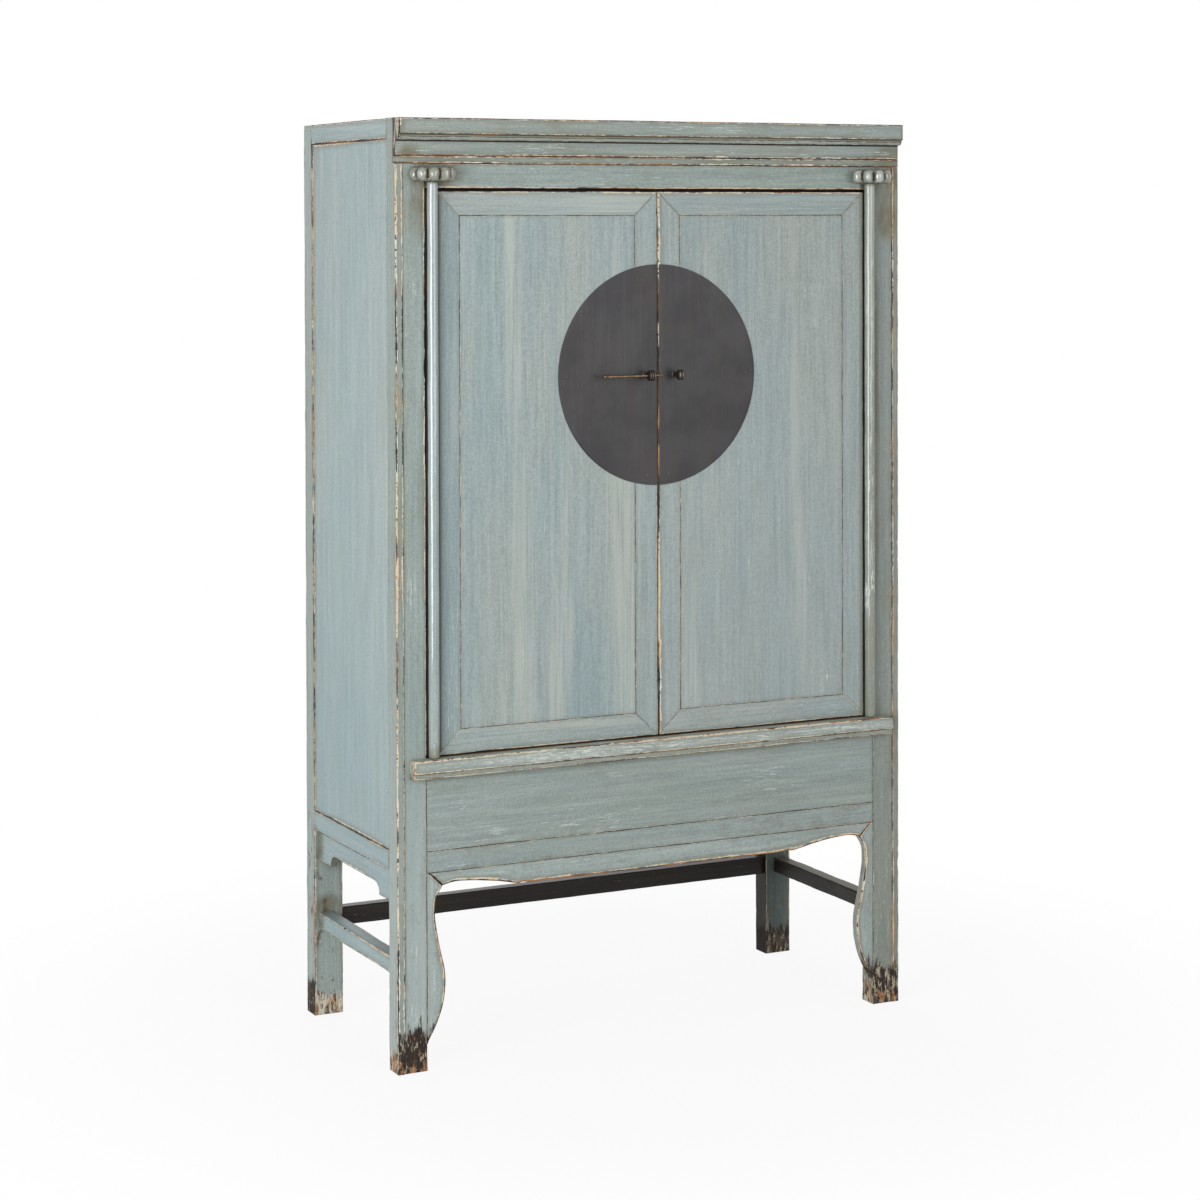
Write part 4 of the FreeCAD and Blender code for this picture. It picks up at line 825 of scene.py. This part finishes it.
piece("left_wing_painted", [wing(37)], "apron", "cabinet", "left_leg_wing")
piece("right_wing_painted", [mirrored(wing(39))], "rightWing", "cabinet", "right_leg_wing")
member("apron", "apron", "x", apronSection, mitreTop + 0.2, width - mitreTop - 0.2, 41, "front_apron",
       softness=[0.5, 2.4, 1.2, 0.5], wear=[0.4, 2.5, 0.8, 0.3], endWear=(0.4, 0.4), stain=[0, 0.2, 1, 0],
       step=5, wavy=0.4, endRound=0.3, knots=[mitreX, width - mitreX], chipped=1.5)
print("apron made")

# Sides

side = {"near": 45, "far": 455, "railFoot": 388, "railTop": 429, "topFoot": 1810, "railBack": 24,
        "panel": (3, 13), "stretcher": (9, 40, 183, 215), "apron": (9, 22), "bracketFoot": 324.5,
        "apronFoot": 347.5, "coveStart": 72, "coveLength": 22}
near, far = side["near"], side["far"]


def sideApron(seed):
    def section(places):
        across = np.minimum(places - near, far - places)
        bend = np.clip((across - side["coveStart"]) / side["coveLength"], 0, 1)
        low = side["bracketFoot"] + (side["apronFoot"] - side["bracketFoot"]) * np.sqrt(1 - (1 - bend) ** 2)
        face, back = side["apron"]
        return outlines(places, (face, side["railFoot"]), (face, low), (back, low), (back, side["railFoot"]))

    cove = [near + side["coveStart"] + lead for lead in (0, 0.5, 1.5, 4, 8, 14)]
    cove = cove + [cabinet["depth"] - spot for spot in cove]
    return board("y", section, near, far, seed, softness=[0.5, 1.2, 1.0, 0.5], wear=[0.3, 1.0, 0.8, 0.2],
                 stain=[0, 0.4, 1, 0], knots=cove, endRound=0.3)


def sideBoards(seed, topStain):
    back = side["railBack"]
    panel = rectangle(*side["panel"], near, far)
    return {
        "lower_rail": board("y", rectangle(0, back, side["railFoot"], side["railTop"]), near, far, seed,
                            softness=[1.2, 1, 1, 1.6], wear=[0.9, 0.4, 0.3, 0.95], stain=[0.6, 0, 0, 0],
                            endRound=0.4),
        "top_rail": board("y", rectangle(0, back, side["topFoot"], height), near, far, seed + 1,
                          softness=[1.4, 1, 1, 1.4], wear=[1.1, 0.3, 0.6, 0.9], endWear=(0.12, 0.3),
                          endRound=0.4),
        "side_panel": board("z", panel, side["railTop"], side["topFoot"], seed + 2, softness=0.5,
                            wear=[0.3, 0.2, 0.2, 1.2], endWear=(1.0, 1.2), endRound=0.4),
        "stretcher": board("y", rectangle(*side["stretcher"]), near, far, seed + 3,
                           softness=[1.6, 1.2, 1.4, 5.0], wear=[0.85, 0.5, 0.7, 0.6], endWear=(0.5, 0.5),
                           stain=[0.3, 1, topStain, 0], endRound=0.4, wavy=0.5),
        "side_apron": sideApron(seed + 4),
    }


for sideName, seed, topStain in (("left", 43, 0), ("right", 53, 0.5)):
    for nodeName, made in sideBoards(seed, topStain).items():
        made = made if sideName == "left" else mirrored(made)
        piece(f"{sideName}_{nodeName}_painted", [made], "sides", "cabinet", f"{sideName}_{nodeName}")
print("sides made")

# Back and top boards

back = {"topRail": (455, 500, 1810, 1850), "lowerRail": (455, 500, 385, 427), "stile": (540, 600, 474, 500),
        "stretcher": (463, 489, 180, 218), "panels": ((62, 540), (600, 1078)), "upright": (427, 1810),
        "panel": (482, 492), "topBoard": (1832, 1842), "topBoardSpan": (24, 1116), "boardGap": 0.15}


def boarding(axis, across, thickness, span, seed):
    # Three boards of uneven width side by side
    cuts = np.cumsum(np.random.default_rng(seed).uniform(0.8, 1.2, 3))
    lines = across[0] + (across[1] - across[0]) * np.concatenate(([0], cuts / cuts[-1]))
    return [board(axis, rectangle(low + back["boardGap"], high - back["boardGap"], *thickness), *span,
                  seed * 7 + index, softness=0.8, wear=0.35, chipped=8, step=12)
            for index, (low, high) in enumerate(zip(lines, lines[1:]))]


member("back_top_rail", "backs", "x", rectangle(*back["topRail"]), left, right, 61,
       wear=[0.3, 0.8, 0.9, 0.5], step=12)
member("back_lower_rail", "backs", "x", rectangle(*back["lowerRail"]), left, right, 62,
       wear=[0.6, 0.9, 0.6, 0.2], stain=[1, 0, 0, 1], step=12)
member("back_stile", "backs", "z", rectangle(*back["stile"]), *back["upright"], 63,
       wear=[0.2, 0.2, 0.7, 0.7], step=12)
panels = [boarding("z", across, back["panel"], back["upright"], 64 + index)
          for index, across in enumerate(back["panels"])]
piece("back_panels_painted", panels[0] + panels[1], "backs", "cabinet", "back_panels")
member("back_stretcher", "posts", "x", rectangle(*back["stretcher"]), left, right, 66, ending="stained",
       softness=1.6, wear=0.5, stain=1, step=12)
member("top_front_rail", "backs", "x", rectangle(*front["topRail"]), left, right, 67, ending="plain",
       wear=[0.2, 0.2, 0.5, 0.2], step=12)
piece("top_boards_painted", boarding("x", (near, far), back["topBoard"], back["topBoardSpan"], 68), "backs",
      "cabinet", "top_board")
print("back and top made")

# Doors

door = {"edge": 64, "face": 85.4, "shadeLow": 93.5, "shadeHigh": 96.5, "line": 135.4, "meetingLine": 518.8,
        "meetingEdge": 568.8, "foot": 612, "lowLine": 660, "highLine": 1661, "head": 1709, "front": 3,
        "panelBack": 17, "back": 25}
pole = {"x": 74.6, "y": -7, "radius": 10.8, "foot": 609.4, "head": 1726.6, "footRound": 3, "headRound": 1.2,
        "footProfile": [(0, 0.2), (0, 7.8), (0.5, 9.2), (1.6, 10.3)],
        "headProfile": [(-0.4, 10.2), (0, 9.3), (0, 0.2)]}


def doorBoards(seed, meetingWear, poleShade):
    (edge, face, shadeLow, shadeHigh, line, meetingLine, meetingEdge, foot, lowLine, highLine, head, front,
     panelBack, back) = door.values()

    def share(places, start, finish):
        return np.clip((places - start) / (finish - start), 0, 1)

    def mitred(start, finish):
        # A stile's ends lean in from its outer to its inner edge
        def slant(u, v):
            rise = (lowLine - foot) * share(u, start, finish)
            return foot + rise, head - rise
        return slant

    def rail(low, high, outer, inner, seed, **worn):
        # For a rail the section's second coordinate is Z, and its ends lean in from the outer edge
        def slant(u, v):
            lean = share(v, outer, inner)
            return face + (line - face) * lean, meetingEdge + (meetingLine - meetingEdge) * lean
        return board("x", [(front, low), (front, high), (back, high), (back, low)], face, meetingEdge, seed,
                     slant=slant, endRound=0.25, chipped=8, **worn)

    # From the pole to shadeHigh the front is darkened by poleShade, fading out: a painted shadow of the pole
    hinge = [(edge, front), (face, front), (shadeLow, front), (shadeHigh, front), (line, front),
             (line, back), (face, back), (edge, back)]
    return {
        "hinge_stile": board("z", hinge, foot, head, seed, wear=[0.6, 0.48, 0, 0, 0.42, 0.2, 0, 0.6],
                             softness=[0.8, 0.3, 0.3, 0.3, 0.45, 0.5, 0.3, 0.8], endWear=(0.8, 0.8),
                             stain=[0.8, 0.64 * poleShade, 0.3 * poleShade, 0, 0, 0, 0, 1],
                             slant=mitred(face, line), endRound=0.25),
        "meeting_stile": board("z", rectangle(meetingLine, meetingEdge, front, back), foot, head, seed + 1,
                               softness=[0.45, 1.0 + 0.6 * (meetingWear > 1), 0.8, 0.5],
                               wear=[0.42, meetingWear, meetingWear, 0.2], endWear=(0.35, 0.35),
                               slant=mitred(meetingEdge, meetingLine), endRound=0.25, chipped=7),
        "top_rail": rail(highLine, head, head, highLine, seed + 2, softness=[0.45, 1.3, 1, 0.5],
                         wear=[0.4, 1.2, 0.5, 0.2], stain=[0, 1, 0, 0]),
        "bottom_rail": rail(foot, lowLine, foot, lowLine, seed + 3, softness=[1.3, 0.45, 0.5, 1],
                            wear=[0.9, 0.4, 0.2, 0.5], stain=[0, 0, 0, 1]),
        "panel": board("z", rectangle(line, meetingLine, front, panelBack), lowLine, highLine, seed + 4,
                       softness=0.45, wear=[0.4, 0.4, 0.2, 0.2], endWear=(0.4, 0.35), endRound=0.3,
                       chipped=5),
    }


def poleRod(seed, shadeSide, dirtAndShadeFrom):
    heights = np.linspace(pole["foot"] + pole["footRound"], pole["head"] - pole["headRound"], 150)
    profile = [(pole["foot"] + rise, radius) for rise, radius in pole["footProfile"]]
    profile += [(place, pole["radius"] - 0.15) for place in heights]
    profile += [(pole["head"] + rise, radius) for rise, radius in pole["headProfile"]]
    rod = turned("z", (pole["x"], pole["y"], 0), profile, seed, 36, wear=0.5, uneven=0.16)
    # Flat where it lies on the door
    spots = rod["points"]
    onDoor = (spots[:, 2] > door["foot"] - 0.5) & (spots[:, 2] < door["head"] + 0.5)
    spots[:, 1] = np.where(onDoor, np.minimum(spots[:, 1], door["front"] - 0.02), spots[:, 1])
    # Dirt and painted shade darken the side turned from the light
    turn = (shadeSide * 0.8 * (spots[:, 0] - pole["x"]) + 0.6 * (spots[:, 1] - pole["y"])) / pole["radius"]
    rod["edges"][:, 2] = np.clip((turn - dirtAndShadeFrom) / 0.65, 0, 1) * 0.52
    return rod


# How worn the meeting edge is, how dark the pole's painted shadow on the stile is, the pole's side darkened
# by dirt and painted shade, and the finishes of the pole, of the rest and of one stile that differs
doorLooks = {
    "left": {"seed": 71, "meetingWear": 0.6, "poleShade": 1, "dirtAndShade": (1, 0.25), "pole": "poles",
             "rest": "doors", "hinge_stile": "hingeStile"},
    "right": {"seed": 81, "meetingWear": 2.0, "poleShade": 0.4, "dirtAndShade": (-1, -0.05), "pole": "rightPole",
              "rest": "rightDoor", "meeting_stile": "meeting"},
}
for sideName, look in doorLooks.items():
    body = f"{sideName}_door"
    for key, made in doorBoards(look["seed"], look["meetingWear"], look["poleShade"]).items():
        made = made if sideName == "left" else mirrored(made)
        piece(f"{body}_{key}_painted", [made], look.get(key, look["rest"]), body, f"{body}_{key}")
    rod = poleRod(look["seed"] + 6, *look["dirtAndShade"])
    piece(f"{sideName}_pole_painted", [rod if sideName == "left" else mirrored(rod)], look["pole"], body,
          f"{sideName}_pivot_pole")
print("doors made")

# Beaded blocks over the poles

blocks = {"ring": 35.2, "bead": 11.6, "height": 29, "foot": 1727, "back": 1.95,
          "left": [-0.5, -0.3, -0.1, 0.1, 0.3, 0.5], "right": [-0.4, -0.2, 0, 0.2, 0.4],
          "core": [(0.6, 0.2), (0.6, 28), (4, 29), (14.5, 29), (25, 29), (28.4, 28), (28.4, 0.2)]}


def bead(centre, seed):
    # A ball a little flattened top and bottom: radius * (cos b cos a, cos b sin a, sin b), softly squared
    dice = np.random.default_rng(seed)
    lift = np.linspace(-np.pi / 2 + 0.02, np.pi / 2 - 0.02, 18)
    profile = np.stack([blocks["height"] / 2 * np.sign(np.sin(lift)) * np.abs(np.sin(lift)) ** 0.92,
                        blocks["bead"] * np.cos(lift) ** 0.85], axis=1)
    made = turned("z", centre, profile, seed, 28, wear=1.2)
    spots = made["points"] - centre
    spots = spots * (1 + 0.03 * np.sin(spots @ dice.normal(0, 0.25, 3) + dice.random() * 6))[:, None]
    made["points"] = spots + centre
    return made


def beadedBlock(shares, spotX, seed):
    middle = blocks["foot"] + blocks["height"] / 2
    core = [(blocks["foot"] + rise, radius) for rise, radius in blocks["core"]]
    core = turned("z", (spotX, pole["y"], 0), core, seed + 20, 48, wear=0.6)
    # The core, seen between the beads, is darkened: painted shade
    core["edges"][:, 2] = 0.6
    core["points"][:, 1] = np.minimum(core["points"][:, 1], blocks["back"] - 0.05)
    made = []
    for index, angle in enumerate(math.pi * share for share in shares):
        across, out = blocks["ring"] * math.sin(angle), blocks["ring"] * math.cos(angle)
        centre = np.array([spotX + across, min(pole["y"] - out, blocks["back"] + 0.05), middle])
        ball = bead(centre, seed + index)
        # Dirt and painted shade darken a bead where it meets its neighbours and the core, and towards its
        # top and bottom
        fromCentre = ball["points"] - centre
        tangent = np.abs(fromCentre @ np.array([math.cos(angle), math.sin(angle), 0]) / blocks["bead"])
        inward = fromCentre @ np.array([-math.sin(angle), math.cos(angle), 0]) / blocks["bead"]
        rise = np.abs(fromCentre[:, 2]) / (blocks["height"] / 2)
        dirtAndShade = np.maximum(np.maximum(tangent, inward), 0.9 * rise)
        ball["edges"] = triples(np.clip(1 - tangent, 0.01, 1) * 0.012, 1.0,
                                np.clip((dirtAndShade - 0.66) / 0.3, 0, 0.66))
        ball["points"][:, 1] = np.minimum(ball["points"][:, 1], blocks["back"])
        made.append(ball)
    return made + [core]


for sideName, spotX, seed in (("left", pole["x"], 91), ("right", width - pole["x"], 101)):
    piece(f"{sideName}_block_painted", beadedBlock(blocks[sideName], spotX, seed), "beads", "cabinet",
          f"{sideName}_pivot_block")
print("beaded blocks made")

# Lock plate, nails, lugs and pin

lock = {"x": 570, "z": 1340, "pinY": -25,
        "plate": {"radius": 222.5, "front": 1.5, "gap": {"left": 1.6, "right": 3.4}, "dent": 0.09,
                  "acrossShares": [0, 0, 0.006, 0.02, 0.25, 0.5, 0.75, 0.94, 0.985, 0.996, 1, 1],
                  "lift": [3, 1.75, 1.55, 1.5, 1.5, 1.5, 1.5, 1.5, 1.5, 1.58, 1.85, 3]},
        "nail": {"inset": 20, "radius": 2.3, "rise": 1.1, "turnShares": [0.038, 0.5, 0.962]},
        "lug": {"half": 7, "core": 7.4, "rib": 3.6, "shoulder": 0.9, "bore": 2.9,
                "stem": [(1.8, 0.1), (1.8, 6.9), (0.6, 6.6), (-0.4, 5.2), (-2, 4.3), (-6, 3.7), (-11, 3.7),
                         (-15, 4.2), (-15, 0.1)],
                "left": {"x": 541, "ribs": 3, "barrel": 0.4, "seed": 121},
                "right": {"x": 607, "ribs": 2, "barrel": 1.6, "seed": 123}},
        "pin": {"start": 433.3, "length": 134, "ball": 4.2, "radius": 2.45, "tail": 107.5,
                "taper": (2.3, 1.15), "twist": 0.42, "swell": 0.22}}


def halfPlate(seed, gap):
    # Rows follow z = R sin(a); across a row x goes from the straight edge to -R cos(a), over a rounded rim
    plate = lock["plate"]
    angle = np.linspace(-1.53, 1.53, 121)
    across, lift = np.array(plate["acrossShares"]), np.array(plate["lift"])
    reach = np.maximum(plate["radius"] * np.cos(angle) - gap, 0.6)
    x = lock["x"] - gap - reach[:, None] * across
    z = np.broadcast_to((lock["z"] + plate["radius"] * np.sin(angle))[:, None], x.shape)
    dent = plate["dent"] * np.sin(x / 61 + seed) * np.sin(z / 83 + 2 * seed)
    points = triples(x, lift + np.where(lift == plate["front"], dent, 0), z)
    blank = np.zeros_like(points)
    return grid(points, len(angle), len(across), points / 1000 + seed, blank, blank)


def nail(share, seed):
    radius, rise = lock["nail"]["radius"], lock["nail"]["rise"]
    out = lock["plate"]["radius"] - lock["nail"]["inset"]
    profile = [(1.6, radius)] + [(lock["plate"]["front"] - rise * math.sin(a), radius * math.cos(a) + 0.02)
                                 for a in np.linspace(0, np.pi / 2, 6)]
    centre = (lock["x"] - out * math.sin(math.pi * share), 0, lock["z"] + out * math.cos(math.pi * share))
    return turned("y", centre, profile, seed, 14)


def lug(x, ribs, barrel, seed):
    # A ribbed ring on a stem: radius = barrel curve + rib wave, both falling away at the two ends
    half, bore = lock["lug"]["half"], lock["lug"]["bore"]
    across = np.linspace(-half, half, 57)
    shoulder = np.clip((half - np.abs(across)) / lock["lug"]["shoulder"], 0, 1)
    wave = np.abs(np.sin(np.pi * ribs * (across + half) / (2 * half))) ** 0.7
    outer = lock["lug"]["core"] + lock["lug"]["rib"] * wave - barrel * (across / half) ** 2
    outer = outer * (0.82 + 0.18 * np.sqrt(shoulder))
    profile = [(-half, bore), *zip(across, outer), (half, bore)]
    return [turned("x", (x, lock["pinY"], lock["z"]), profile, seed, 32),
            turned("y", (x, 0, lock["z"]), lock["lug"]["stem"], seed + 1, 24)]


def lockPin(seed):
    # Ball, neck, rod, then a twisted tapering tail: each tail section is a rounded square that turns along X
    pin = lock["pin"]
    start, ball, end = pin["start"], pin["ball"], pin["start"] + pin["length"]
    tail = np.linspace(start + pin["tail"], end, 40)
    thick, taper = pin["taper"]
    profile = [(start + ball - ball * math.cos(a), ball * math.sin(a)) for a in np.linspace(0.05, 2.6, 12)]
    profile += [(place, pin["radius"]) for place in np.linspace(start + 10, start + 106, 34)]
    profile += [(place, thick - taper * (place - tail[0]) / (end - tail[0])) for place in tail]
    profile += [(end + 0.3, 0.2)]
    made = turned("x", (0, lock["pinY"], lock["z"]), profile, seed, 24)
    spots = made["points"]
    turn = np.arctan2(spots[:, 2] - lock["z"], spots[:, 1] - lock["pinY"])
    wave = pin["swell"] * np.cos(4 * (turn - (spots[:, 0] - start) * pin["twist"]))
    swell = 1 + np.where(spots[:, 0] > start + 107, wave, 0)
    for way, centre in ((1, lock["pinY"]), (2, lock["z"])):
        spots[:, way] = centre + (spots[:, way] - centre) * swell
    return made


for sideName, seed in (("left", 1), ("right", 2)):
    body = f"{sideName}_door"
    plate = [halfPlate(seed, lock["plate"]["gap"][sideName])]
    nails = [nail(share, 111 + index) for index, share in enumerate(lock["nail"]["turnShares"])]
    if sideName == "right":
        plate, nails = ([mirrored(part) for part in parts] for parts in (plate, nails))
    piece(f"{sideName}_plate_dark", plate, "plate", body, f"{sideName}_lock_plate")
    piece(f"{sideName}_nails_brass", nails, "brass", body, f"{sideName}_plate_nails")
    piece(f"{sideName}_lug_dark", lug(**lock["lug"][sideName]), "lock", body, f"{sideName}_lock_lug")
piece("lock_pin_worn", [lockPin(131)], "pin", "lock_pin", "lock_pin")
print("lock made")
